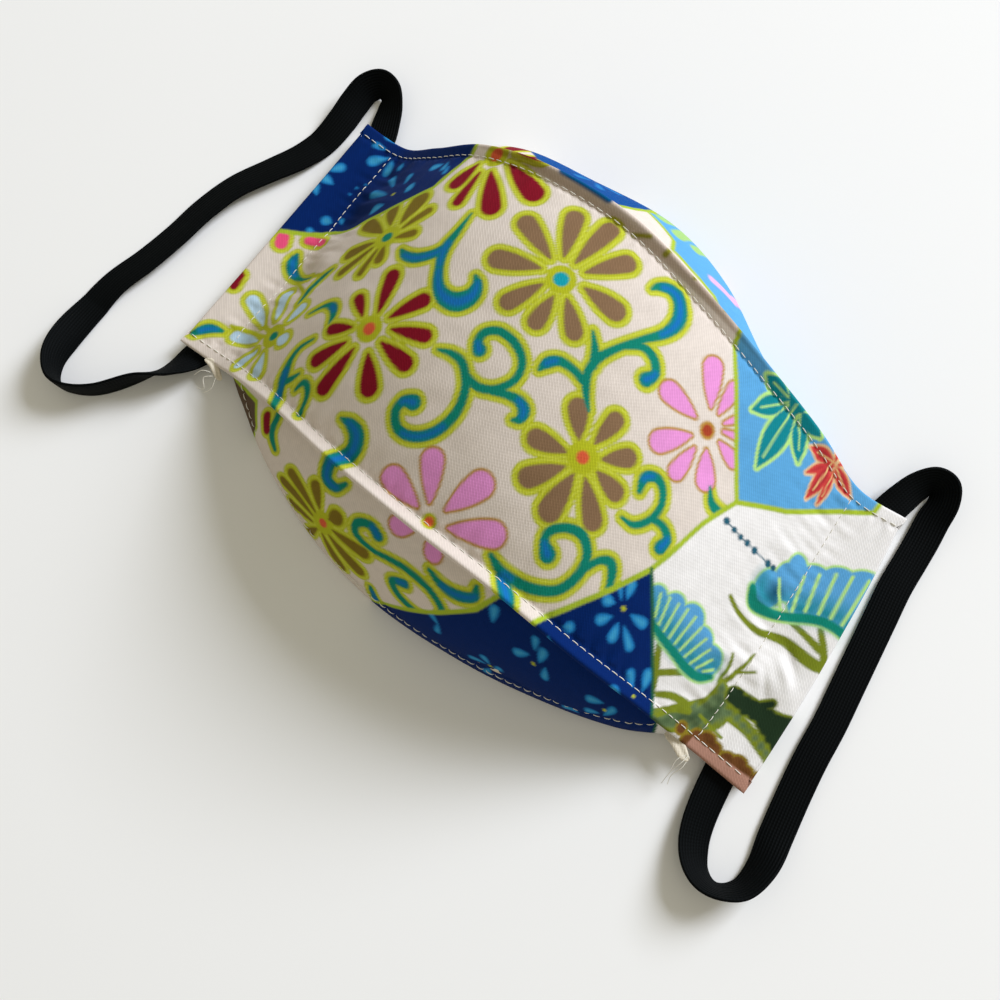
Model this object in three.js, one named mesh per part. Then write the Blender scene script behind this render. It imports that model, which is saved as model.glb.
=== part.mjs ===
// A cloth face mask, lying on a table with its hollow underneath.
// Millimetres. +X runs along the mask from the left tab to the right tab, +Y runs from the chin
// to the nose, +Z is up, and the table is the plane z = 0. "Left" and "right" are as drawn from above.
import * as THREE from 'three';

// ---- Driving dimensions ----
const clothThickness = 1.0;      // the printed cloth with its turned seam allowances
const liningThickness = 1.0;     // the plain cloth inside
const pieceGap = 0.3;            // between pieces that touch
const foldLip = 4.0;             // from a fold's stitch line out to the fold itself
const foldThickness = 1.6;       // the cloth doubled in a stitched fold
const channelWall = 1.0;         // the hem folded under a tab
const bandWidth = 9.5;           // flat elastic, 3/8 inch
const bandThickness = 1.3;
const bandChamfer = 0.35;
const floorGap = 0.1;            // from the table up to a band that lies on it
const panelColumns = 12;         // strips across the middle panel
const flapColumns = 5;           // strips across the nose or the chin flap
const stationsPerRow = 3;        // sections made for each row of the table
const bandSteps = 80;            // steps along one ear loop
const liningFirst = 5;           // the lining's first section, counted from the left tab's edge
const liningLast = 24;           // and its last one
const casingMargin = 0.035;      // part of the tab's height left free at both ends of a casing
const middle = { x: 2.08, y: 2.65 };  // middle of the cloth's footprint, which becomes the origin
const liningHem = 0.4;           // height of the lining's hems

// ---- The sections ----
// One row for each section, from the left tab's edge to the right tab's edge.
// low*: tip of the fold on the chin side.  high*: tip of the fold on the nose side.
// crown: rise of the middle panel over the line between the folds.  tilt: degrees that the folds stand up.
// bow: how far the section's middle lies along X from the line between the folds.
// chinY, noseY: the hems of the two flaps.  hemZ: height of both hems.
const sections = [
  { lowX: -101.6, lowY: -45.2, lowZ: 5.2, highX: -103.2, highY: 45.4, highZ: 5.4,
    crown: 0.2, tilt: 0, bow: 0.3, chinY: -41.6, noseY: 41.8, hemZ: 3.0 },
  { lowX: -88.5, lowY: -44.4, lowZ: 6.4, highX: -88.5, highY: 45.6, highZ: 7.4,
    crown: -0.6, tilt: 0, bow: 0.3, chinY: -41.2, noseY: 42.2, hemZ: 3.3 },
  { lowX: -77.0, lowY: -44.1, lowZ: 14.5, highX: -74.5, highY: 46.2, highZ: 21.5,
    crown: 4.5, tilt: 18, bow: 0, chinY: -47.6, noseY: 55.0, hemZ: 0.8 },
  { lowX: -60.0, lowY: -44.5, lowZ: 25.0, highX: -57.0, highY: 49.1, highZ: 37.5,
    crown: 7.5, tilt: 28, bow: 0, chinY: -56.4, noseY: 66.0, hemZ: 0.2 },
  { lowX: -35.0, lowY: -46.8, lowZ: 36.0, highX: -34.0, highY: 50.7, highZ: 47.8,
    crown: 8.5, tilt: 30, bow: 0, chinY: -65.4, noseY: 71.2, hemZ: 0 },
  { lowX: -6.0, lowY: -47.7, lowZ: 42.0, highX: -8.0, highY: 51.1, highZ: 50.4,
    crown: 8.5, tilt: 30, bow: 0, chinY: -69.2, noseY: 74.8, hemZ: 0 },
  { lowX: 24.0, lowY: -47.2, lowZ: 41.3, highX: 18.0, highY: 48.6, highZ: 45.0,
    crown: 8.0, tilt: 30, bow: 0, chinY: -66.5, noseY: 68.6, hemZ: 0 },
  { lowX: 49.0, lowY: -47.1, lowZ: 34.0, highX: 43.0, highY: 46.7, highZ: 33.5,
    crown: 6.5, tilt: 30, bow: 0, chinY: -60.8, noseY: 56.0, hemZ: 0.2 },
  { lowX: 71.5, lowY: -45.9, lowZ: 20.5, highX: 65.0, highY: 45.6, highZ: 20.3,
    crown: 3.0, tilt: 18, bow: 0, chinY: -52.8, noseY: 49.6, hemZ: 0.8 },
  { lowX: 90.0, lowY: -45.2, lowZ: 7.0, highX: 83.4, highY: 43.4, highZ: 8.2,
    crown: -0.6, tilt: 0, bow: 1.0, chinY: -42.0, noseY: 41.4, hemZ: 3.3 },
  { lowX: 107.4, lowY: -45.4, lowZ: 5.2, highX: 98.6, highY: 45.4, highZ: 5.4,
    crown: 0.2, tilt: 0, bow: 1.2, chinY: -41.8, noseY: 41.8, hemZ: 3.0 },
];
const lastRow = sections.length - 1;

// Soft dents and folds of the middle panel, a row for each: row and across place its middle
// (across runs from 0 at the chin fold to 1 at the nose fold), alongRows and acrossPart are its
// half sizes, and height is how far it stands up, or below zero how deep it sinks.
const dents = [
  { row: 1.25, across: 0.84, alongRows: 0.4, acrossPart: 0.05, height: 1.2 },
  { row: 1.3, across: 0.7, alongRows: 0.45, acrossPart: 0.05, height: -1.3 },
  { row: 1.3, across: 0.56, alongRows: 0.45, acrossPart: 0.06, height: 1.2 },
  { row: 1.35, across: 0.42, alongRows: 0.45, acrossPart: 0.06, height: -1.2 },
  { row: 1.3, across: 0.27, alongRows: 0.4, acrossPart: 0.06, height: 1.0 },
  { row: 9.4, across: 0.3, alongRows: 0.4, acrossPart: 0.05, height: 1.0 },
  { row: 9.3, across: 0.42, alongRows: 0.4, acrossPart: 0.05, height: -0.8 },
  { row: 7.2, across: 0.72, alongRows: 0.6, acrossPart: 0.16, height: -1.6 },
];

// ---- The ear loops ----
// Each loop's middle line, a closed ring that runs up through its tab's channel and back over the
// table. lift: height over the place where the band would lie on the table.  edge: degrees that the
// band is turned from lying flat, so at 90 it stands on its edge.
const leftRoute = [
  { x: -96.8, y: -30.0, lift: 1.2, edge: 0 },
  { x: -97.0, y: 0.0, lift: 1.2, edge: 0 },
  { x: -97.2, y: 30.0, lift: 1.2, edge: 0 },
  { x: -97.6, y: 38.0, lift: 1.2, edge: 0 },
  { x: -98.8, y: 44.5, lift: 1.2, edge: 4 },
  { x: -101.0, y: 49.6, lift: 0.9, edge: 10 },
  { x: -103.2, y: 54.4, lift: 0.4, edge: 24 },
  { x: -106.2, y: 58.6, lift: 0, edge: 44 },
  { x: -110.4, y: 59.2, lift: 0, edge: 50 },
  { x: -113.4, y: 55.4, lift: 0, edge: 40 },
  { x: -113.9, y: 49.6, lift: 0, edge: 24 },
  { x: -113.5, y: 42.5, lift: 0, edge: 12 },
  { x: -113.7, y: 34.0, lift: 0, edge: 2 },
  { x: -115.8, y: 25.0, lift: 0, edge: -6 },
  { x: -120.0, y: 15.5, lift: 0, edge: -12 },
  { x: -125.2, y: 4.0, lift: 0, edge: -14 },
  { x: -127.9, y: -8.0, lift: 0, edge: -14 },
  { x: -129.0, y: -20.0, lift: 0, edge: -14 },
  { x: -130.9, y: -32.0, lift: 0, edge: -12 },
  { x: -133.6, y: -44.0, lift: 0, edge: -8 },
  { x: -133.9, y: -56.0, lift: 0, edge: 6 },
  { x: -132.4, y: -66.4, lift: 0, edge: 38 },
  { x: -129.6, y: -74.2, lift: 0, edge: 70 },
  { x: -124.8, y: -78.6, lift: 0, edge: 88 },
  { x: -118.6, y: -77.2, lift: 0, edge: 90 },
  { x: -112.0, y: -72.0, lift: 0, edge: 90 },
  { x: -105.4, y: -62.2, lift: 0, edge: 84 },
  { x: -99.4, y: -53.6, lift: 0.4, edge: 46 },
  { x: -96.8, y: -43.8, lift: 1.0, edge: 3 },
];
const rightRoute = [
  { x: 98.8, y: -30.0, lift: 1.2, edge: 0 },
  { x: 96.6, y: 0.0, lift: 1.2, edge: 0 },
  { x: 94.0, y: 30.0, lift: 1.2, edge: 0 },
  { x: 93.8, y: 38.0, lift: 1.2, edge: 0 },
  { x: 94.4, y: 44.4, lift: 1.2, edge: -4 },
  { x: 95.4, y: 50.0, lift: 1.1, edge: -14 },
  { x: 96.8, y: 55.4, lift: 0.7, edge: -28 },
  { x: 99.4, y: 59.8, lift: 0.3, edge: -46 },
  { x: 103.2, y: 60.2, lift: 0, edge: -50 },
  { x: 105.4, y: 56.2, lift: 0, edge: -38 },
  { x: 106.2, y: 50.4, lift: 0, edge: -20 },
  { x: 107.3, y: 44.0, lift: 0, edge: -10 },
  { x: 108.1, y: 37.0, lift: 0, edge: -6 },
  { x: 109.0, y: 28.0, lift: 0, edge: -6 },
  { x: 110.8, y: 18.0, lift: 0, edge: -6 },
  { x: 112.8, y: 7.0, lift: 0, edge: -6 },
  { x: 114.8, y: -4.0, lift: 0, edge: -6 },
  { x: 116.8, y: -15.0, lift: 0, edge: -6 },
  { x: 118.2, y: -26.0, lift: 0, edge: -8 },
  { x: 120.2, y: -37.0, lift: 0, edge: -8 },
  { x: 122.4, y: -48.0, lift: 0, edge: -16 },
  { x: 124.0, y: -57.6, lift: 0, edge: -42 },
  { x: 123.0, y: -65.6, lift: 0, edge: -62 },
  { x: 118.2, y: -70.2, lift: 0, edge: -72 },
  { x: 112.4, y: -70.2, lift: 0, edge: -50 },
  { x: 107.6, y: -66.4, lift: 0, edge: -26 },
  { x: 104.0, y: -59.2, lift: 0.3, edge: -12 },
  { x: 101.0, y: -46.4, lift: 1.2, edge: -2 },
];

// ---- Materials ----
const printedCotton = new THREE.MeshStandardMaterial({ color: 0xddd2c4, roughness: 0.85, metalness: 0 });
const hemCotton = new THREE.MeshStandardMaterial({ color: 0xd8cfc6, roughness: 0.85, metalness: 0 });
const plainCotton = new THREE.MeshStandardMaterial({ color: 0xe9e2d2, roughness: 0.9, metalness: 0 });
const blackElastic = new THREE.MeshStandardMaterial({ color: 0x0b0d10, roughness: 0.8, metalness: 0 });

// ---- Small helpers ----
const radians = (degrees) => (degrees * Math.PI) / 180;

// Catmull-Rom curve through four numbers, t from the second (0) to the third (1).
function throughFour(a, b, c, d, t) {
  const square = t * t;
  const cube = square * t;
  return 0.5 * (2 * b + (c - a) * t + (2 * a - 5 * b + 4 * c - d) * square + (3 * b - a - 3 * c + d) * cube);
}

// The value of one column at a place between rows of the section table.
function sectionValue(column, row) {
  const first = Math.min(Math.floor(row), lastRow - 1);
  const value = (index) => sections[Math.max(0, Math.min(lastRow, index))][column];
  return throughFour(value(first - 1), value(first), value(first + 1), value(first + 2), row - first);
}

// The value of one column at a place along a closed route.
function routeValue(route, column, place) {
  const first = Math.floor(place);
  const value = (index) => route[(index + route.length) % route.length][column];
  return throughFour(value(first - 1), value(first), value(first + 1), value(first + 2), place - first);
}

// How far the dents move the middle panel up at a place.
function dentHeight(row, across) {
  let height = 0;
  for (const dent of dents) {
    const along = (row - dent.row) / dent.alongRows;
    const side = (across - dent.across) / dent.acrossPart;
    height += dent.height * Math.exp(-along * along - side * side);
  }
  return height;
}

// Half of a flap: a quadratic curve from the fold out and down to the hem, upright at the hem.
function flapPoint(start, hem, part) {
  const bend = new THREE.Vector3(hem.x, hem.y, start.z * 0.55 + hem.z * 0.45);
  const rest = 1 - part;
  return new THREE.Vector3()
    .addScaledVector(start, rest * rest)
    .addScaledVector(bend, 2 * rest * part)
    .addScaledVector(hem, part * part);
}

// ---- The shape of the printed cloth ----
// All the points of one section, in order from the chin hem to the nose hem, with the two fold tips.
function clothSection(row) {
  const value = (column) => sectionValue(column, row);
  const standing = radians(value('tilt'));
  const lowTip = new THREE.Vector3(value('lowX'), value('lowY'), value('lowZ'));
  const highTip = new THREE.Vector3(value('highX'), value('highY'), value('highZ'));
  const lowIn = new THREE.Vector3(0, Math.cos(standing), -Math.sin(standing));
  const highIn = new THREE.Vector3(0, -Math.cos(standing), -Math.sin(standing));
  const lowUnder = new THREE.Vector3(0, -Math.sin(standing), -Math.cos(standing));
  const highUnder = new THREE.Vector3(0, Math.sin(standing), -Math.cos(standing));
  const lowStitch = lowTip.clone().addScaledVector(lowIn, foldLip);
  const highStitch = highTip.clone().addScaledVector(highIn, foldLip);
  const lowRoot = lowStitch.clone().addScaledVector(lowUnder, foldThickness);
  const highRoot = highStitch.clone().addScaledVector(highUnder, foldThickness);
  const hemZ = Math.max(value('hemZ'), 0);
  const chinHem = new THREE.Vector3(lowTip.x, value('chinY'), hemZ);
  const noseHem = new THREE.Vector3(highTip.x, value('noseY'), hemZ);
  const skin = [];
  for (let strip = flapColumns; strip >= 0; strip -= 1) {
    skin.push(flapPoint(lowRoot, chinHem, strip / flapColumns));
  }
  for (let strip = 0; strip <= panelColumns; strip += 1) {
    const across = strip / panelColumns;
    const point = new THREE.Vector3().lerpVectors(lowStitch, highStitch, across);
    const swell = 1 - Math.abs(2 * across - 1) ** 2.3;
    point.x += value('bow') * swell;
    point.z += value('crown') * swell + dentHeight(row, across);
    skin.push(point);
  }
  for (let strip = 0; strip <= flapColumns; strip += 1) {
    skin.push(flapPoint(highRoot, noseHem, strip / flapColumns));
  }
  const lowTips = [lowTip.clone().addScaledVector(lowUnder, foldThickness * 0.8), lowTip];
  const highTips = [highTip, highTip.clone().addScaledVector(highUnder, foldThickness * 0.8)];
  return { skin, lowTips, highTips };
}

// Unit normals of a grid of points, facing out of the mask.
function gridNormals(grid) {
  return grid.map((line, i) => line.map((point, j) => {
    const ahead = grid[Math.min(i + 1, grid.length - 1)][j];
    const behind = grid[Math.max(i - 1, 0)][j];
    const next = line[Math.min(j + 1, line.length - 1)];
    const previous = line[Math.max(j - 1, 0)];
    return ahead.clone().sub(behind).cross(next.clone().sub(previous)).normalize();
  }));
}

// ---- Meshes ----
// A closed body from rings of points: every ring is joined to the next, and the two end rings are
// capped with caps, triangles of places in a ring, unless the rings close on themselves.
function bodyFromRings(rings, { closed = false, caps = [] } = {}) {
  const size = rings[0].length;
  const positions = rings.flat().flatMap((point) => [point.x, point.y, point.z]);
  const triangles = [];
  const spans = closed ? rings.length : rings.length - 1;
  for (let i = 0; i < spans; i += 1) {
    const here = i * size;
    const there = ((i + 1) % rings.length) * size;
    for (let j = 0; j < size; j += 1) {
      const next = (j + 1) % size;
      triangles.push(here + j, there + j, there + next);
      triangles.push(here + j, there + next, here + next);
    }
  }
  if (!closed) {
    const end = (rings.length - 1) * size;
    for (const [a, b, c] of caps) {
      triangles.push(a, b, c);
      triangles.push(end + a, end + c, end + b);
    }
  }
  const geometry = new THREE.BufferGeometry();
  geometry.setAttribute('position', new THREE.Float32BufferAttribute(positions, 3));
  geometry.setIndex(triangles);
  geometry.computeVertexNormals();
  return geometry;
}

// Triangles that fill a ring, seen as a flat outline, wound the same way round as the ring.
function capTriangles(outline) {
  const triangles = THREE.ShapeUtils.triangulateShape(outline, []);
  const first = triangles[0].map((index) => outline[index]);
  const sameWay = THREE.ShapeUtils.area(first) > 0 === THREE.ShapeUtils.area(outline) > 0;
  return sameWay ? triangles : triangles.map(([a, b, c]) => [a, c, b]);
}

// The sections that the cloth and its lining are made through, and the normals of their points.
const stationCount = lastRow * stationsPerRow + 1;
const stations = Array.from({ length: stationCount }, (_, i) => clothSection(i / stationsPerRow));
const normals = gridNormals(stations.map((station) => station.skin));

// One section's points, moved in from the outside of the cloth by a depth, none lower than a floor.
function sunkSection(index, depth, lowest) {
  return stations[index].skin.map((point, j) => {
    const sunk = point.clone().addScaledVector(normals[index][j], -depth);
    sunk.z = Math.max(sunk.z, lowest);
    return sunk;
  });
}

// Cap triangles between a row of outside places and the inside places that face them, where the
// inside runs back along the end of the ring.
function wallCap(outsidePlaces, ringSize) {
  const triangles = [];
  for (let j = 0; j + 1 < outsidePlaces.length; j += 1) {
    const inside = ringSize - 1 - j;
    triangles.push([outsidePlaces[j], outsidePlaces[j + 1], inside - 1]);
    triangles.push([outsidePlaces[j], inside - 1, inside]);
  }
  return triangles;
}

// The printed cloth: its outside with both folds, and its inside one thickness further in.
function outerClothGeometry() {
  const lowFold = flapColumns + 1;
  const highFold = lowFold + panelColumns + 1;
  const rings = stations.map(({ skin, lowTips, highTips }, i) => {
    const outside = [
      ...skin.slice(0, lowFold), ...lowTips,
      ...skin.slice(lowFold, highFold), ...highTips,
      ...skin.slice(highFold),
    ];
    return [...outside, ...sunkSection(i, clothThickness, 0).reverse()];
  });
  const tipCount = 2;
  const outsidePlaces = stations[0].skin.map((_, j) => (
    j + (j >= lowFold ? tipCount : 0) + (j >= highFold ? tipCount : 0)));
  const foldCaps = [lowFold - 1, highFold + tipCount - 1].flatMap((root) => (
    [[root, root + 1, root + 2], [root, root + 2, root + 3]]));
  return bodyFromRings(rings, { caps: [...wallCap(outsidePlaces, rings[0].length), ...foldCaps] });
}

// The lining: the same shape between two depths under the printed cloth, ending short of the tabs.
function liningGeometry() {
  const top = clothThickness + pieceGap;
  const bottom = top + liningThickness;
  const rings = [];
  for (let i = liningFirst; i <= liningLast; i += 1) {
    rings.push([...sunkSection(i, top, liningHem), ...sunkSection(i, bottom, liningHem).reverse()]);
  }
  const outsidePlaces = stations[0].skin.map((_, j) => j);
  return bodyFromRings(rings, { caps: wallCap(outsidePlaces, rings[0].length) });
}

// A tab's channel: the cloth's end folded down and back, from the tab's edge to its stitch line.
// side is -1 at the left tab and +1 at the right tab.
function casingGeometry(side) {
  const edgeRow = side < 0 ? 0 : lastRow;
  const stitchRow = side < 0 ? 1 : lastRow - 1;
  const steps = 8;
  const rings = [];
  for (let i = 0; i <= steps; i += 1) {
    const across = casingMargin + (1 - 2 * casingMargin) * (i / steps);
    const line = (row) => {
      const { skin } = clothSection(row);
      const place = flapColumns + 1 + across * panelColumns;
      const low = Math.min(Math.floor(place), skin.length - 2);
      return new THREE.Vector3().lerpVectors(skin[low], skin[low + 1], place - low);
    };
    const edge = line(edgeRow);
    const stitch = line(stitchRow);
    const stitchUnder = stitch.z - clothThickness - pieceGap - 0.6;
    const x = (outward) => edge.x + side * outward;
    const stitchX = stitch.x + side * 0.8;
    const profile = [
      [x(pieceGap), edge.z - 0.1], [x(pieceGap), channelWall],
      [stitchX + side * 2.0, channelWall], [stitchX, stitchUnder],
      [stitchX - side * 0.6, stitchUnder - channelWall], [stitchX + side * 1.4, 0],
      [x(pieceGap + channelWall * 0.4), 0], [x(pieceGap + channelWall), 0.9],
      [x(pieceGap + channelWall), edge.z - 0.9], [x(pieceGap + channelWall * 0.5), edge.z - 0.1],
    ];
    rings.push(profile.map(([px, pz]) => new THREE.Vector3(px, edge.y, pz)));
  }
  if (side < 0) rings.forEach((ring) => ring.reverse());
  const flat = rings[0].map((point) => new THREE.Vector2(point.x, point.z));
  return bodyFromRings(rings, { caps: capTriangles(flat) });
}

// A flat band swept round a closed route, with its width turned from flat by the route's edge angle.
function bandGeometry(route) {
  const half = bandWidth / 2;
  const thin = bandThickness / 2;
  const outline = [
    [half, -thin + bandChamfer], [half, thin - bandChamfer],
    [half - bandChamfer, thin], [-half + bandChamfer, thin],
    [-half, thin - bandChamfer], [-half, -thin + bandChamfer],
    [-half + bandChamfer, -thin], [half - bandChamfer, -thin],
  ];
  const middle = (place) => new THREE.Vector3(
    routeValue(route, 'x', place), routeValue(route, 'y', place), 0);
  const rings = [];
  for (let i = 0; i < bandSteps; i += 1) {
    const place = (i * route.length) / bandSteps;
    const along = middle(place + 0.02).sub(middle(place - 0.02)).normalize();
    const edge = radians(routeValue(route, 'edge', place));
    const level = new THREE.Vector3(along.y, -along.x, 0);
    const wide = level.clone().multiplyScalar(Math.cos(edge)).setZ(Math.sin(edge));
    const thick = level.clone().multiplyScalar(-Math.sin(edge)).setZ(Math.cos(edge));
    const centre = middle(place);
    centre.z = floorGap + thin * Math.abs(Math.cos(edge)) + half * Math.abs(Math.sin(edge))
      + routeValue(route, 'lift', place);
    rings.push(outline.map(([w, h]) => centre.clone().addScaledVector(wide, w).addScaledVector(thick, h)));
  }
  return bodyFromRings(rings, { closed: true });
}

// The lining's folded corner that peeps out where a chin flap ends under its tab.
function cornerGeometry(side) {
  const anchor = clothSection(side < 0 ? 1.35 : lastRow - 1.35).lowTips[0];
  const outline = [[0, 0], [-5.6, -0.6], [-7.4, -2.2], [-6.2, -3.6], [-2.4, -3.2], [0.4, -1.8]];
  const top = anchor.z - 1.3;
  const rings = [top - 1.2, top].map((z) => outline.map(([along, out]) => (
    new THREE.Vector3(anchor.x - side * along, anchor.y + out, z))));
  if (side < 0) rings.reverse();
  const flat = rings[0].map((point) => new THREE.Vector2(point.x, point.y));
  return bodyFromRings(rings, { caps: capTriangles(flat) });
}

// ---- The mask ----
const mask = new THREE.Group();
mask.position.set(-middle.x, -middle.y, 0);

function addPiece(name, geometry, material) {
  const piece = new THREE.Mesh(geometry, material);
  piece.name = name;
  mask.add(piece);
}

addPiece('outer_cloth', outerClothGeometry(), printedCotton);
addPiece('lining', liningGeometry(), plainCotton);
addPiece('casing_left', casingGeometry(-1), hemCotton);
addPiece('casing_right', casingGeometry(1), hemCotton);
addPiece('lining_corner_left', cornerGeometry(-1), plainCotton);
addPiece('lining_corner_right', cornerGeometry(1), plainCotton);
addPiece('ear_loop_left', bandGeometry(leftRoute), blackElastic);
addPiece('ear_loop_right', bandGeometry(rightRoute), blackElastic);

export default mask;
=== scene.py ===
"""A sewn cotton face mask with a patchwork print and black elastic ear loops, lying on a table."""
import math

import bpy
import numpy as np
from mathutils import Matrix, Vector


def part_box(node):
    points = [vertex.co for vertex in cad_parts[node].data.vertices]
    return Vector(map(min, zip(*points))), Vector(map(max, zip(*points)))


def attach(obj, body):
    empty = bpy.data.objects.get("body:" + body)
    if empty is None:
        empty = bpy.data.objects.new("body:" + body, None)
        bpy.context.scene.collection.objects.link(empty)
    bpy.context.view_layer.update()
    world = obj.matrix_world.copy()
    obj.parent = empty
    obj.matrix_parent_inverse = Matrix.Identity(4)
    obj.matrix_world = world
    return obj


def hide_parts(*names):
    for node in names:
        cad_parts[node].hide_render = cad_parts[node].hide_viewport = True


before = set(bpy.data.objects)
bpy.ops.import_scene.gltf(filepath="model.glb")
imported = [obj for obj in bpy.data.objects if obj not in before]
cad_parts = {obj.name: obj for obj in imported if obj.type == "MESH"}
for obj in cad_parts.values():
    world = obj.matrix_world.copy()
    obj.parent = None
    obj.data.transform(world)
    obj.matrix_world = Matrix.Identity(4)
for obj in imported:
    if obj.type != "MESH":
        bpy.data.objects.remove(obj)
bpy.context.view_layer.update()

MM = 0.001

# ---------------------------------------------------------------- the mask's own sizes (millimetres)
MIDDLE = np.array([2.08, 2.65, 0.0])    # middle of the cloth's footprint, which is the origin
LIP = 4.0                               # from a fold's stitch line out to the fold
FOLD = 1.6                              # thickness of the folded cloth
LIP_ARC = 2 * (LIP - FOLD / 2) + math.pi * FOLD / 2
HEM_TURN = 5.0                          # how far a hem is turned in
HEM_INSET = {False: 8.6, True: 5.0}     # hem stitches in from the hem: chin, nose
FOLD_REST = {False: 1.1, True: 1.0}     # how far each fold keeps its pressed tilt: chin, nose
RIDGE_PITCH = 2.9                       # from one stitch to the next along a fold
TAB_PITCH = 2.45                        # and along a tab's channel
HEM_PITCH = 3.0                         # and along a flap's hem
STITCH_SHARE = 0.82                     # part of the pitch where the thread shows
THREAD_RADIUS = 0.14
HEM_RADIUS = 0.55                       # of a turned hem
LOWEST_HEM = 0.12                       # lowest point of a flap over the table
SEAM_ROW = 0.96                         # place of a channel's seam, in rows from the tab's edge
CHANNEL_FLOOR = 0.25                    # height of a channel's underside
LOWEST_CHANNEL = 0.14
LINING_ROW = 0.98                       # where the lining starts, in rows from the tab's edge
LINING_DEPTH = 1.15                     # from the printed cloth in to the lining
LOWEST_LINING = 0.3
BAND_WIDTH = 9.5
BAND_THICKNESS = 1.3
BAND_RIBS = 11
FLOOR_GAP = 0.1

# One row for each section, from the left tab's edge to the right tab's edge.
SECTION_COLUMNS = ("low_x", "low_y", "low_z", "high_x", "high_y", "high_z",
                   "crown", "tilt", "bow", "chin_y", "nose_y", "hem_z")
SECTIONS = np.array([
    (-101.6, -45.2, 5.2, -103.2, 45.4, 5.4, 0.2, 0, 0.3, -41.6, 41.8, 3.0),
    (-88.5, -44.4, 6.4, -88.5, 45.6, 7.4, -0.6, 0, 0.3, -41.2, 42.2, 3.3),
    (-77.0, -44.1, 14.5, -74.5, 46.2, 21.5, 4.5, 18, 0.0, -47.6, 55.0, 0.8),
    (-60.0, -44.5, 25.0, -57.0, 49.1, 37.5, 7.5, 28, 0.0, -56.4, 66.0, 0.2),
    (-35.0, -46.8, 36.0, -34.0, 50.7, 47.8, 8.5, 30, 0.0, -65.4, 71.2, 0.0),
    (-6.0, -47.7, 42.0, -8.0, 51.1, 50.4, 8.5, 30, 0.0, -69.2, 74.8, 0.0),
    (24.0, -47.2, 41.3, 18.0, 48.6, 45.0, 8.0, 30, 0.0, -66.5, 68.6, 0.0),
    (49.0, -47.1, 34.0, 43.0, 46.7, 33.5, 6.5, 30, 0.0, -60.8, 56.0, 0.2),
    (71.5, -45.9, 20.5, 65.0, 45.6, 20.3, 3.0, 18, 0.0, -52.8, 49.6, 0.8),
    (90.0, -45.2, 7.0, 83.4, 43.4, 8.2, -0.6, 0, 1.0, -42.0, 41.4, 3.3),
    (107.4, -45.4, 5.2, 98.6, 45.4, 5.4, 0.2, 0, 1.2, -41.8, 41.8, 3.0),
])
LAST_ROW = len(SECTIONS) - 1

# Soft dents of the middle panel: row, across (0 chin fold to 1 nose fold), half sizes, height.
DENTS = (
    (1.25, 0.84, 0.4, 0.05, 1.2), (1.3, 0.7, 0.45, 0.05, -1.3), (1.3, 0.56, 0.45, 0.06, 1.2),
    (1.35, 0.42, 0.45, 0.06, -1.2), (1.3, 0.27, 0.4, 0.06, 1.0), (9.4, 0.3, 0.4, 0.05, 1.0),
    (9.3, 0.42, 0.4, 0.05, -0.8), (7.2, 0.72, 0.6, 0.16, -1.6),
)

# Creases pressed into the cloth, in fabric millimetres: middle u and v, half length and half width,
# degrees that the crease turns from the u direction, and its height.
CREASES = (
    (-94, 30, 9, 2.2, 8, -0.6), (-93, 22, 8, 2.0, 4, 0.5), (-92, -2, 9, 3.0, -4, 0.7),
    (-92, -14, 8, 2.0, -8, -0.5), (-92, -24, 8, 2.0, -6, 0.5), (-90, -36, 8, 2.0, -10, -0.4),
    (84, 30, 8, 2.2, -8, -0.4), (84, 14, 8, 2.4, 0, 0.5), (86, -4, 8, 2.2, 4, -0.5),
    (86, -18, 9, 2.4, 8, 0.5), (104, -12, 5, 1.6, -40, 0.9), (104, -8, 5, 1.3, -42, -0.6),
    (101, -17, 5, 1.2, -55, -0.5), (86, -34, 7, 1.8, 14, -0.4),
)

# Middle line of each ear loop, a ring through its tab's channel: x, y, lift, edge angle.
LOOP_LEFT = np.array([
    (-96.8, -30.0, 1.2, 0), (-97.0, 0.0, 1.2, 0), (-97.2, 30.0, 1.2, 0), (-97.6, 38.0, 1.2, 0),
    (-98.8, 44.5, 1.2, 4), (-101.0, 49.6, 0.9, 10), (-103.2, 54.4, 0.4, 24),
    (-106.2, 58.6, 0, 44), (-110.4, 59.2, 0, 50), (-113.4, 55.4, 0, 40), (-113.9, 49.6, 0, 24),
    (-113.5, 42.5, 0, 12), (-113.7, 34.0, 0, 2), (-115.8, 25.0, 0, -6), (-120.0, 15.5, 0, -12),
    (-125.2, 4.0, 0, -14), (-127.9, -8.0, 0, -14), (-129.0, -20.0, 0, -14),
    (-130.9, -32.0, 0, -12), (-133.6, -44.0, 0, -8), (-133.9, -56.0, 0, 6),
    (-132.4, -66.4, 0, 38), (-129.6, -74.2, 0, 70), (-124.8, -78.6, 0, 88),
    (-118.6, -77.2, 0, 90), (-112.0, -72.0, 0, 90), (-105.4, -62.2, 0, 84),
    (-99.4, -53.6, 0.4, 46), (-96.8, -43.8, 1.0, 3),
])
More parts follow.
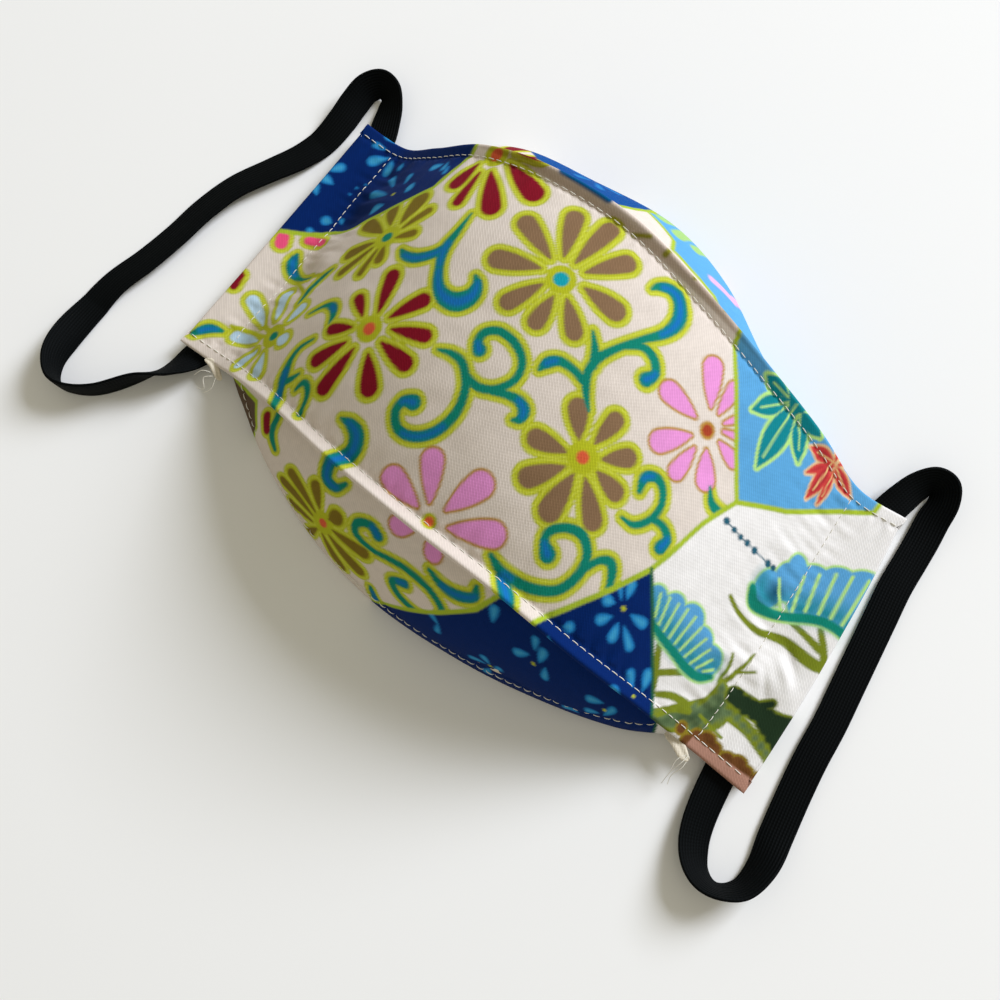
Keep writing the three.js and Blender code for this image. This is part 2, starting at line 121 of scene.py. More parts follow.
LOOP_RIGHT = np.array([
    (98.8, -30.0, 1.2, 0), (96.6, 0.0, 1.2, 0), (94.0, 30.0, 1.2, 0), (93.8, 38.0, 1.2, 0),
    (94.4, 44.4, 1.2, -4), (95.4, 50.0, 1.1, -14), (96.8, 55.4, 0.7, -28), (99.4, 59.8, 0.3, -46),
    (103.2, 60.2, 0, -50), (105.4, 56.2, 0, -38), (106.2, 50.4, 0, -20), (107.3, 44.0, 0, -10),
    (108.1, 37.0, 0, -6), (109.0, 28.0, 0, -6), (110.8, 18.0, 0, -6), (112.8, 7.0, 0, -6),
    (114.8, -4.0, 0, -6), (116.8, -15.0, 0, -6), (118.2, -26.0, 0, -8), (120.2, -37.0, 0, -8),
    (122.4, -48.0, 0, -16), (124.0, -57.6, 0, -42), (123.0, -65.6, 0, -62),
    (118.2, -70.2, 0, -72), (112.4, -70.2, 0, -50), (107.6, -66.4, 0, -26),
    (104.0, -59.2, 0.3, -12), (101.0, -46.4, 1.2, -2),
])


# ---------------------------------------------------------------- camera
def make_camera():
    """Camera over the chin side, looking down and turned as a hand-held one is."""
    data = bpy.data.cameras.new("camera")
    data.lens = 37.44
    data.sensor_width = 36.0
    data.clip_start, data.clip_end = 0.01, 20.0
    camera = bpy.data.objects.new("camera", data)
    bpy.context.scene.collection.objects.link(camera)
    right = Vector((0.7777, 0.6278, -0.0330)).normalized()
    back = Vector((0.1509, -0.1354, 0.9792)).normalized()
    up = back.cross(right).normalized()
    right = up.cross(back)
    turn = Matrix((right, up, back)).transposed().to_4x4()
    camera.matrix_world = Matrix.Translation((0.04844, -0.06683, 0.3024)) @ turn
    bpy.context.scene.camera = camera


make_camera()


# ---------------------------------------------------------------- mesh helpers
def new_object(name, points, faces, uv=None, colour=None):
    """Object from points in millimetres and four-cornered faces, with a uv and a colour per point."""
    mesh = bpy.data.meshes.new(name)
    points = np.asarray(points, dtype=np.float32).reshape(-1, 3) * MM
    faces = np.asarray(faces, dtype=np.int32)
    mesh.vertices.add(len(points))
    mesh.vertices.foreach_set("co", points.ravel())
    mesh.loops.add(faces.size)
    mesh.loops.foreach_set("vertex_index", faces.ravel())
    mesh.polygons.add(len(faces))
    mesh.polygons.foreach_set("loop_start", np.arange(len(faces), dtype=np.int32) * faces.shape[1])
    mesh.update(calc_edges=True)
    mesh.validate()
    if uv is not None:
        layer = mesh.uv_layers.new(name="fabric")
        layer.data.foreach_set("uv", np.asarray(uv, np.float32).reshape(-1, 2)[faces.ravel()].ravel())
    if colour is not None:
        layer = mesh.color_attributes.new("print", "FLOAT_COLOR", "POINT")
        rgba = np.ones((len(points), 4), np.float32)
        rgba[:, :3] = np.asarray(colour, np.float32).reshape(-1, 3)
        layer.data.foreach_set("color", rgba.ravel())
    mesh.polygons.foreach_set("use_smooth", np.ones(len(faces), dtype=bool))
    obj = bpy.data.objects.new(name, mesh)
    bpy.context.scene.collection.objects.link(obj)
    return obj


def dress(piece, material, node=None):
    """Gives a piece its material and slot on the mask's one body, in place of its solid if it has one."""
    piece.data.materials.append(material)
    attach(piece, "root")
    if node:
        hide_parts(node)
    return piece


def grid_faces(rows, columns, close_rows=False, close_columns=False, flip=False):
    """Four-cornered faces of a grid of rows by columns points, closed on itself where asked."""
    i = np.arange(rows if close_rows else rows - 1)
    j = np.arange(columns if close_columns else columns - 1)
    a, b = np.meshgrid(i, j, indexing="ij")
    a1, b1 = (a + 1) % rows, (b + 1) % columns
    faces = np.stack([a * columns + b, a1 * columns + b, a1 * columns + b1, a * columns + b1], -1)
    faces = faces.reshape(-1, 4)
    return faces[:, ::-1] if flip else faces


def through_four(a, b, c, d, t):
    """Catmull-Rom curve from b to c, with t from 0 to 1."""
    return 0.5 * (2 * b + (c - a) * t + (2 * a - 5 * b + 4 * c - d) * t ** 2
                  + (3 * b - a - 3 * c + d) * t ** 3)


def spline(knots, count, closed=False):
    """Catmull-Rom curve through the knots, as count points evenly spaced between knots."""
    knots = np.asarray(knots, float)
    last = len(knots) - (0 if closed else 1)
    place = np.linspace(0, last, count, endpoint=not closed)
    first = np.minimum(np.floor(place).astype(int), last - 1)
    pick = (lambda k: knots[(first + k) % len(knots)]) if closed else (
        lambda k: knots[np.clip(first + k, 0, len(knots) - 1)])
    return through_four(pick(-1), pick(0), pick(1), pick(2), (place - first)[:, None])


def run_length(points, axis=0):
    """Length along a line of points, starting at zero."""
    steps = np.linalg.norm(np.diff(points, axis=axis), axis=-1)
    pad = [(0, 0)] * steps.ndim
    pad[axis] = (1, 0)
    return np.pad(np.cumsum(steps, axis=axis), pad)


def unit(vectors):
    """Vectors scaled to length one."""
    return vectors / np.maximum(np.linalg.norm(vectors, axis=-1, keepdims=True), 1e-9)


def grid_normals(points):
    """Normals of a grid of points: the cross product of its two directions."""
    return unit(np.cross(np.gradient(points, axis=0), np.gradient(points, axis=1)))


# ---------------------------------------------------------------- the shape of the cloth
def section(row):
    """The section table's columns at any place between its rows, on Catmull-Rom curves."""
    row = np.asarray(row, float)
    first = np.clip(np.floor(row).astype(int), 0, LAST_ROW - 1)
    pick = lambda k: SECTIONS[np.clip(first + k, 0, LAST_ROW)]
    values = through_four(pick(-1), pick(0), pick(1), pick(2), (row - first)[..., None])
    return {name: values[..., k] for k, name in enumerate(SECTION_COLUMNS)}


def fold_frame(row, high):
    """A fold's tip, and the directions in towards the panel and under the fold."""
    values = section(row)
    tilt = np.radians(values["tilt"])
    sign = -1.0 if high else 1.0
    side = "high_" if high else "low_"
    tip = np.stack([values[side + "x"], values[side + "y"], values[side + "z"]], -1)
    inward = np.stack([0 * tilt, sign * np.cos(tilt), -np.sin(tilt)], -1)
    stitch = tip + inward * LIP
    tilt = tilt * FOLD_REST[high]
    inward = np.stack([0 * tilt, sign * np.cos(tilt), -np.sin(tilt)], -1)
    under = np.stack([0 * tilt, -sign * np.sin(tilt), -np.cos(tilt)], -1)
    return values, stitch - inward * LIP, inward, under


def panel_points(row, across):
    """Middle panel: the straight line between the two stitch lines, raised by the crown and dents."""
    row, across = np.broadcast_arrays(np.asarray(row, float), np.asarray(across, float))
    values, low_tip, low_in, _ = fold_frame(row, False)
    _, high_tip, high_in, _ = fold_frame(row, True)
    part = across[..., None]
    points = (low_tip + low_in * LIP) * (1 - part) + (high_tip + high_in * LIP) * part
    swell = 1 - np.abs(2 * across - 1) ** 2.3
    points[..., 0] += values["bow"] * swell
    points[..., 2] += values["crown"] * swell
    for at_row, at_across, along, side, height in DENTS:
        points[..., 2] += height * np.exp(-((row - at_row) / along) ** 2
                                          - ((across - at_across) / side) ** 2)
    return points - MIDDLE


def lip_points(row, part, high):
    """Fold: out from the stitch line, half round the tip, and back under to the root."""
    row, part = np.broadcast_arrays(np.asarray(row, float), np.asarray(part, float))
    _, tip, inward, under = fold_frame(row, high)
    radius = FOLD / 2
    straight = LIP - radius
    run = part * LIP_ARC
    angle = np.clip((run - straight) / radius, 0, np.pi)
    out = np.minimum(run, straight) + radius * np.sin(angle)
    out = out - np.clip(run - straight - np.pi * radius, 0, None)
    from_end = np.minimum(row, LAST_ROW - row)
    down = radius * (1 - np.cos(angle)) * (0.12 + 0.88 * np.clip(from_end / 0.22, 0, 1) ** 0.5)
    points = tip + inward * (LIP - out[..., None]) + under * down[..., None]
    past = np.clip(1 - from_end / 0.3, 0, 1) ** 2 * np.clip(part * 4, 0, 1)
    points[..., 0] += 1.1 * past * np.where(row < LAST_ROW / 2, -1, 1)
    return points - MIDDLE


def flap_points(row, part, high):
    """Flap: a quadratic curve from the fold's root out and down to the hem."""
    row, part = np.broadcast_arrays(np.asarray(row, float), np.asarray(part, float))
    values, tip, inward, under = fold_frame(row, high)
    start = tip + inward * LIP + under * FOLD
    hem_y = values["nose_y"] if high else values["chin_y"]
    hem = np.stack([tip[..., 0], hem_y, np.maximum(values["hem_z"], 0)], -1)
    bend = np.stack([hem[..., 0], hem[..., 1], start[..., 2] * 0.55 + hem[..., 2] * 0.45], -1)
    w = part[..., None]
    return start * (1 - w) ** 2 + bend * 2 * (1 - w) * w + hem * w ** 2 - MIDDLE


FINE_ROWS = np.linspace(0, LAST_ROW, 2001)


def fabric_along(high):
    """Cloth length along a stitch line at FINE_ROWS, zero where the line crosses x = 0."""
    line = lip_points(FINE_ROWS, 0.0, high)
    length = run_length(line)
    return length - np.interp(0.0, line[:, 0], length)


ALONG_LOW, ALONG_HIGH = fabric_along(False), fabric_along(True)
HALF_WIDTH = run_length(panel_points(FINE_ROWS[:, None], np.linspace(0, 1, 60)[None]), 1)[:, -1] / 2


def fabric_u(row, across):
    """Cloth length along the mask at a row, between the lengths at its two folds."""
    low = np.interp(row, FINE_ROWS, ALONG_LOW)
    high = np.interp(row, FINE_ROWS, ALONG_HIGH)
    return low * (1 - across) + high * across


def smooth_noise(u, v, size, seed):
    """Sum of a few slow sine waves in seeded directions, between about -1 and 1."""
    random = np.random.default_rng(seed)
    total = np.zeros(np.broadcast(u, v).shape)
    for _ in range(6):
        angle, phase = random.uniform(0, 2 * np.pi, 2)
        pitch = size * random.uniform(0.7, 1.5)
        total += np.sin(2 * np.pi * (u * np.cos(angle) + v * np.sin(angle)) / pitch + phase)
    return total / 3.5


def crease_height(u, v):
    """Height of the pressed creases, gathers beside the tabs' seams and slow unevenness, in millimetres."""
    height = 0.17 * smooth_noise(u, v, 26, 4) + 0.08 * smooth_noise(u, v, 9, 8)
    for seam, lean in ((-103.5 - v * 0.07, 1.0), (93.2 - v * 0.06, -1.0)):
        beside = lean * (u - seam)
        reach = np.where(beside > 0, 15.0, 5.0)
        gathers = smooth_noise(u * 0.22, v, 8.5, 17) + 0.6 * smooth_noise(u * 0.35, v, 4.4, 29)
        fade = np.exp(-(beside / reach) ** 2) * np.clip(np.abs(beside) / 1.2, 0.25, 1)
        height = height + 0.34 * gathers * fade
    for at_u, at_v, length, width, degrees, rise in CREASES:
        turn = math.radians(degrees)
        along = (u - at_u) * math.cos(turn) + (v - at_v) * math.sin(turn)
        side = (v - at_v) * math.cos(turn) - (u - at_u) * math.sin(turn)
        height = height + rise * np.exp(-(along / length) ** 2 - (side / width) ** 2)
    return height


def seam_pucker(run, distance, pitch, depth, reach):
    """Small waves where a seam pulls the cloth, fading with distance from it."""
    return depth * np.cos(2 * np.pi * run / pitch) * np.exp(-(distance / reach) ** 2)


# ---------------------------------------------------------------- the print
def linear(red, green, blue):
    """A display colour from 0 to 255 as linear light."""
    shade = np.array([red, green, blue]) / 255
    return np.where(shade <= 0.04045, shade / 12.92, ((shade + 0.055) / 1.055) ** 2.4)


CREAM = linear(226, 214, 203)
LIME = linear(184, 190, 36)
LIME_PALE = linear(220, 226, 92)
TAUPE = linear(137, 108, 80)
OLIVE = linear(128, 108, 32)
DARK_RED = linear(132, 16, 36)
TEAL = linear(16, 132, 112)
BLUE = linear(24, 112, 188)
TURQUOISE = linear(22, 160, 176)
ORANGE = linear(222, 96, 62)
PINK = linear(232, 150, 212)
OCHRE = linear(186, 142, 62)
PALE_BLUE = linear(192, 220, 240)
ROSE = linear(238, 84, 128)
NAVY = linear(0, 36, 100)
PETAL_BLUE = linear(30, 124, 190)
PETAL_GLOW = linear(72, 172, 214)
SKY = linear(92, 164, 214)
WHITE = linear(240, 237, 234)
PALE_LIME = linear(182, 226, 130)
LEAF_TEAL = linear(14, 132, 142)
LEAF_RED = linear(206, 66, 62)
TWIG = linear(122, 134, 34)
TRUNK = linear(46, 70, 44)
GREY_GREEN = linear(98, 118, 78)
BROWN = linear(108, 68, 34)
DUSKY = linear(176, 132, 114)
INK = linear(38, 92, 112)
BRICK = linear(168, 66, 40)
BAND_PINK = linear(236, 176, 226)
LEAF_PALE = linear(160, 200, 120)
RED_LEAF_EDGE = linear(226, 190, 140)
RED_LEAF_SHADE = linear(160, 30, 50)
RED_LEAF_VEIN = linear(236, 196, 130)
PINE_SHADE = linear(4, 62, 88)
CLOUD_EDGE = linear(140, 120, 34)
ROYAL = linear(6, 92, 170)
TAUPE_GROUND = linear(96, 78, 60)
BORDER_GREEN = linear(168, 190, 50)
DARK_BORDER = linear(40, 96, 62)
TICK_GREEN = linear(168, 170, 60)
BLOT_GREEN = linear(14, 52, 44)
NOSE_BLUE = linear(0, 92, 150)
# Tan that darkens the nose fold's lip: painted shade.
NOSE_LIP_SHADE = linear(150, 122, 84)

# Patches of the print, as outlines in fabric millimetres (u along the mask, v from chin to nose).
NAVY_LEFT = ((-130, 0), (-116, 0), (-109, 4.5), (-101.5, 9.5), (-90, 12), (-80, 18.5), (-72, 25),
             (-67.5, 29.5), (-66.5, 36), (-65, 45), (-68, 60), (-75, 72), (-82, 90), (-130, 90))
SKY_PATCH = ((32, 45), (60.5, 13), (75, 22), (90, 35), (99, 41.5), (99, 50), (92, 62), (92, 120),
             (-26, 120), (-17, 104), (-13, 92), (-13, 78), (-1, 71), (1, 65.5), (18, 64.5),
             (26, 58), (30, 51))
WHITE_PATCH = ((60.5, 13), (56, 2), (53, -12), (51.5, -17), (62, -28), (75, -41), (79, -46),
               (84, -60), (92, -80), (135, -80), (135, 120), (92, 120), (92, 62), (99, 50),
               (99, 41.5), (90, 35), (75, 22))
NAVY_RIGHT = ((51.5, -17), (62, -28), (75, -41), (79, -46), (84, -60), (92, -80), (92, -125),
              (-12, -125), (-8, -100), (-2, -92), (5, -84), (12, -76), (20, -66), (23, -57),
              (33, -54), (36, -45), (46, -28))
ROYAL_PATCH = ((-47, 66), (-36, 63.5), (-20, 63.5), (-15, 72), (-12, 82), (-13, 92), (-20, 101),
               (-30, 107), (-41, 103), (-52, 97), (-57, 86), (-54, 73))
TAUPE_PATCH = ((-130, -52), (-96, -54), (-74, -58), (-69, -66), (-74, -84), (-130, -84))
DUSKY_PATCH = ((94.5, -41.3), (92.5, -60), (135, -60), (135, -41.0))
NOSE_TICKS = ((2, 49, 4, 60, 0.8), (12, 50, 15, 60, 0.7), (24, 50, 27, 57, 0.7), (-8, 47.5, -4, 50, 0.6))
NOSE_BLOTS = ((-28, 56, -23, 56, 3.4), (-28, 62, -24, 60, 2.4))
BORDERS = (
    ((-118, -1), (-109, 4.5), (-101.5, 9.5), (-90, 12), (-80, 18.5), (-72, 25), (-67.5, 29.5),
     (-66.5, 36), (-65, 45), (-68, 60), (-75, 72), (-82, 90)),
    ((-13, 92), (-13, 78), (-1, 71), (1, 65.5), (18, 64.5), (26, 58), (30, 51), (32, 45), (60.5, 13), (56, 2),
     (53, -12), (51.5, -17), (46, -28), (36, -45), (33, -54), (23, -57), (20, -66), (12, -76),
     (5, -84), (-2, -92), (-8, -100)),
    ((60.5, 13), (75, 22), (90, 35), (99, 41.5), (99, 50), (92, 62)),
    ((-47, 66), (-36, 63.5), (-20, 63.5), (-15, 72), (-12, 82), (-13, 92), (-20, 101), (-30, 107)),
    ((-96, -54), (-74, -58), (-69, -66), (-74, -84)),
)
DARK_BORDERS = (((51.5, -17), (62, -28), (75, -41), (79, -46), (84, -60)),)

# Flowers: centre u and v, centre radius, then petals as (foot u, foot v, end u, end v, end radius).
TAUPE_FLOWERS = (
    ((-14, 23.7, 2.1, "turquoise"), (
        (-17.5, 29.5, -22.6, 41.0, 2.3), (-14, 30, -13.4, 44.2, 2.3), (-10.3, 29.5, -4.0, 39.2, 2.3),
        (-7.8, 25.8, 2.0, 26.4, 2.5), (-9.5, 20.3, -2.6, 14.6, 2.1), (-12.6, 18.4, -11.8, 10.4, 2.1),
        (-17, 19.4, -20.9, 10.4, 2.2), (-20.2, 22.8, -31.0, 18.6, 2.6),
        (-20, 26.8, -31.6, 31.6, 2.4))),
    ((19, -8.7, 1.7, "orange"), (
        (19.3, -3.8, 19.8, 4.2, 2.1), (23.2, -5.6, 28.2, -0.6, 2.2), (24.2, -8.9, 31.0, -9.4, 2.2),
        (22.8, -12.3, 30.8, -18.8, 2.4), (19.8, -13.6, 20.5, -24.4, 2.7),
        (16.8, -13.6, 11.3, -21.8, 2.4), (14.8, -10.6, 7.0, -13.0, 2.3),
        (15.4, -5.8, 10.4, 0.0, 2.4))),
)
RED_FLOWERS = (
    ((-50, -16.2, 1.9, "orange"), (
        (-51, -11, -55.0, -0.6, 2.0), (-46.6, -10.6, -41.0, -2.0, 2.0), (-43.4, -13, -33.6, -9.6, 1.8),
        (-43.6, -17.5, -33.5, -18.5, 2.1), (-45, -22, -38.4, -29.0, 2.4),
        (-50.4, -23, -51.7, -36.0, 2.1), (-54.2, -22.6, -59.8, -31.0, 1.9),
        (-55.6, -18.3, -61.6, -21.6, 1.6), (-55, -14.2, -60.0, -10.6, 1.5))),
    ((-56, 47, 2.0, "orange"), (
        (-59.4, 42, -60.4, 33.0, 2.0), (-56.4, 39.5, -54.1, 27.4, 1.4),
        (-53, 41, -43.6, 30.6, 2.6), (-49.8, 46, -36.8, 41.0, 2.8),
        (-50, 50, -42, 52.6, 2.0), (-52, 58, -45.0, 67.5, 3.0), (-58, 58, -58, 76, 3.0),
        (-62, 52, -70, 60, 2.4))),
)
OLIVE_FLOWERS = (
    ((-67.6, 9.3, 1.8, "teal"), (
        (-67, 15, -68.3, 24.4, 2.6), (-64.6, 13.6, -61.0, 21.4, 1.2), (-64, 10, -59.6, 13.2, 1.2),
        (-65.4, 6, -63.9, 2.0, 1.3), (-67.2, 4.6, -66.6, -3.8, 0.9), (-69.8, 4.8, -75.0, -5.0, 1.2),
        (-71.2, 6.4, -78.6, 1.6, 1.8), (-71.4, 10.4, -82.6, 13.0, 2.2),
        (-70.8, 13.6, -76.2, 19.0, 1.9))),
    ((-30, -78.5, 1.6, "orange"), (
        (-33, -74.6, -37.4, -69.0, 1.7), (-28.6, -75.4, -26.6, -73.0, 2.3), (-26, -78, -14.5, -77.6, 1.7),
        (-26.6, -81, -14, -86.0, 1.8), (-29, -83, -20, -91.0, 1.6), (-34, -77.2, -47.5, -71.5, 1.6),
        (-34.6, -79.4, -50.0, -77.0, 1.6), (-34, -82, -45, -84.0, 1.4), (-31.6, -83, -35, -90, 1.4))),
)
PALE_FLOWERS = (
    ((-83.4, -29.6, 1.6, "teal"), (
        (-87.6, -24.4, -96.2, -15.6, 2.0), (-82, -23.6, -80.8, -18.6, 1.5), (-80.6, -29.6, -78.4, -29.6, 1.9),
        (-93, -27.6, -105.4, -22.2, 1.7), (-90, -32.6, -100.4, -34.2, 1.6),
        (-86.8, -35.4, -89.6, -41.6, 1.3), (-82.4, -35.6, -79.6, -41.4, 1.6))),
)
PINK_FLOWERS = (
    ((40.7, 21, 1.6, "brick"), (
        (37.4, 26.4, 31.2, 35.0, 2.6), (40.4, 27, 39.8, 35.4, 1.9), (35.6, 21, 26.2, 20.6, 2.5),
        (37.8, 16.4, 32.2, 8.8, 2.5), (40.7, 14.6, 40.7, 6.4, 2.0), (43.8, 16.8, 48.8, 10.8, 2.5),
        (45.6, 21.4, 52.2, 20.8, 1.8), (44.6, 24.4, 50.6, 27.4, 0.9), (43.4, 26.2, 46.6, 31.4, 0.9))),
    ((-2.6, -46.6, 1.3, "orange"), (
        (-5.4, -42.6, -11.2, -34.0, 2.6), (-7.6, -45.6, -17.4, -43.8, 2.7), (-0.6, -41.4, 2.8, -31.0, 3.0),
        (2.6, -44.6, 12.8, -38.4, 2.9), (-4.6, -56.0, -9.2, -61.6, 2.6), (0.2, -56.0, 2.6, -61.0, 2.3))),
)

# Scrolls: each a curve through (u, v, half width).
SCROLLS = (
    ((-47, 26, 0.3), (-46.4, 20, 0.9), (-46, 13, 1.6), (-43.5, 8, 1.4), (-40, 3.6, 1.8), (-36, 1.9, 2.5),
     (-32.2, 2.8, 2.9), (-30.2, 6.2, 2.4), (-31, 9.6, 1.5), (-33, 11.2, 0.6)),
    ((-46, 14, 1.4), (-48, 10.4, 1.5), (-52, 7.2, 1.7), (-56, 6.3, 1.5), (-58.8, 7.2, 0.6)),
    ((-18.8, -4.5, 1.9), (-20.6, -2.8, 1.3), (-20.6, 0.2, 1.2), (-17.5, 2.6, 1.2), (-12.4, 2.4, 1.2),
     (-8, -0.2, 1.1), (-6.6, -5, 1.0), (-9, -10, 1.1), (-13, -12.3, 1.2), (-17.5, -11.8, 1.0)),
    ((-28, -10.6, 0.4), (-24, -9.4, 1.0), (-20, -10, 1.2), (-15.6, -14.4, 1.2), (-13.6, -21, 1.3),
     (-15, -27.8, 1.5), (-19, -32.2, 1.5), (-24, -33.2, 1.4), (-27.4, -30, 1.3), (-27.2, -26.6, 1.5),
     (-24.8, -25.4, 2.2)),
    ((-9.4, -11, 1.0), (-6, -9.4, 1.1), (-2.6, -8.6, 1.4), (0, -9.6, 1.7), (0.6, -12, 1.2),
     (-0.8, -13.4, 0.5)),
    ((13, 1.4, 0.4), (9.4, 4.6, 1.0), (6.6, 9, 1.2), (6.6, 14, 1.2), (9, 20, 1.0), (12, 25.6, 1.0),
     (15.4, 31.6, 1.5), (16, 37, 2.1), (13.4, 41.4, 2.1), (9.4, 42.8, 1.8), (6.2, 40.6, 1.2),
     (5.2, 38.4, 0.4)),
    ((6.6, 11, 1.2), (4.6, 14.4, 1.1), (1, 18, 0.4)),
    ((7, 6.4, 1.2), (3.4, 6.8, 1.1), (-0.6, 6.2, 1.3), (-2.8, 3.8, 1.5), (-3.4, 1, 0.5)),
    ((10, 21, 0.8), (13.4, 24.2, 1.1), (17.4, 24, 1.3), (20.2, 21.2, 1.4), (19.3, 18.2, 2.0)),
    ((36, -4.6, 0.8), (35, -1, 1.5), (37.6, 1.2, 1.3), (41, 0, 1.1), (43.2, -3.6, 1.0), (43, -8, 1.0),
     (40.4, -12, 0.9), (36.4, -12.9, 0.4)),
    ((43.2, -7.4, 0.9), (47, -6.8, 1.1), (50, -8.4, 1.4), (49.9, -11.3, 1.9)),
    ((26.8, -33, 2.3), (24.2, -31, 1.3), (23.8, -28.2, 1.2), (26.6, -24.8, 1.2), (31, -23.4, 1.4),
     (35, -26, 1.3), (36.4, -31, 1.3), (35, -37, 1.3), (31.4, -40.6, 1.4), (26, -43.2, 1.4),
     (20, -44, 1.4), (15.4, -42.8, 0.7)),
    ((36.8, -29.4, 0.9), (38.6, -25, 1.0), (41.6, -23.4, 1.4), (44, -26, 1.2), (45.2, -29.4, 0.7)),
    ((19, -43.6, 0.8), (22, -46, 1.9), (25.5, -49, 2.2), (28, -54, 1.6), (27, -58, 0.8)),
    ((51, 10.4, 0.4), (54, 7.8, 1.1), (57, 7.2, 1.4), (60, 7.8, 1.2)),
    ((-40.6, -39.8, 0.4), (-36.6, -39.6, 1.7), (-33.2, -41.2, 2.5), (-31.8, -45, 2.5), (-34, -50, 2.4),
     (-36.5, -57, 2.2), (-35.4, -63.6, 2.1), (-31, -64.6, 1.5), (-28.6, -61.6, 0.8)),
    ((-66, -26.4, 0.4), (-68.8, -30, 0.7), (-69.3, -34, 0.9), (-68, -39, 1.6), (-66.4, -43, 1.5),
     (-63, -50, 1.2), (-61.8, -58, 1.2), (-60.6, -64, 1.3), (-57, -68, 0.8)),
    ((-67, -41, 1.2), (-64.8, -39.2, 1.0), (-63, -36.6, 0.4)),
    ((-61, -41, 0.5), (-59.6, -38.2, 1.0), (-57.4, -38.3, 1.1), (-55.4, -41, 0.9), (-54.2, -46, 0.8)),
    ((-75, -20, 0.3), (-71, -16.4, 0.7), (-67.2, -15.8, 1.5), (-65, -17.8, 1.1), (-64.2, -20.4, 0.4)),
    ((-81, -4, 0.3), (-83.4, -8, 0.9), (-84.4, -13, 1.0), (-84, -17.6, 0.4)),
    ((-106, -2.4, 0.6), (-105, -5.4, 1.9), (-102, -8, 1.7), (-97, -8.9, 0.8), (-90, -8, 0.3)),
    ((-111, -41, 1.0), (-108.6, -37.2, 1.7), (-105, -35.4, 0.7)),
    ((-13, -69, 1.7), (-16.4, -67.4, 1.4), (-20, -69.4, 1.4), (-19, -73, 1.1), (-13, -74.4, 0.9),
     (-7, -73, 1.0), (-1, -71.6, 1.1), (7, -71.4, 1.1), (12.6, -74.4, 1.2), (12.4, -79, 1.2),
     (7.6, -82.6, 1.2), (0.4, -82.8, 1.3), (-3.6, -79.4, 1.3), (0, -76.6, 1.6)),
    ((4, -66, 0.7), (9, -67, 1.4), (14, -66, 1.8), (17.8, -63, 1.5), (17, -60, 0.8)),
    ((-9, -90, 0.8), (-7, -95, 1.8), (-4, -99, 1.8)),
)
PALE_STROKES = (
    ((-95, -8.6, 0.5), (-88, -7.4, 0.9), (-82, -6.4, 0.6)),
    ((-99, -10, 0.4), (-92, -11.8, 0.8), (-86.6, -14, 0.8), (-84, -19, 0.8)),
    ((-104, -24, 0.9), (-97, -26.6, 1.1), (-90, -28, 1.0), (-85, -29, 0.9)),
    ((-104, -32.4, 0.6), (-96, -31.4, 1.0), (-88, -30.8, 0.9)),
)
ROSE_SPOTS = ((-113.4, -0.6, -112.4, -2.4, 1.9), (-106.6, 3.4, -102.0, 4.8, 1.5))
RED_SPOTS = ((-114, -18, -113, -22, 1.2), (-66, -60, -63.5, -64, 1.6))

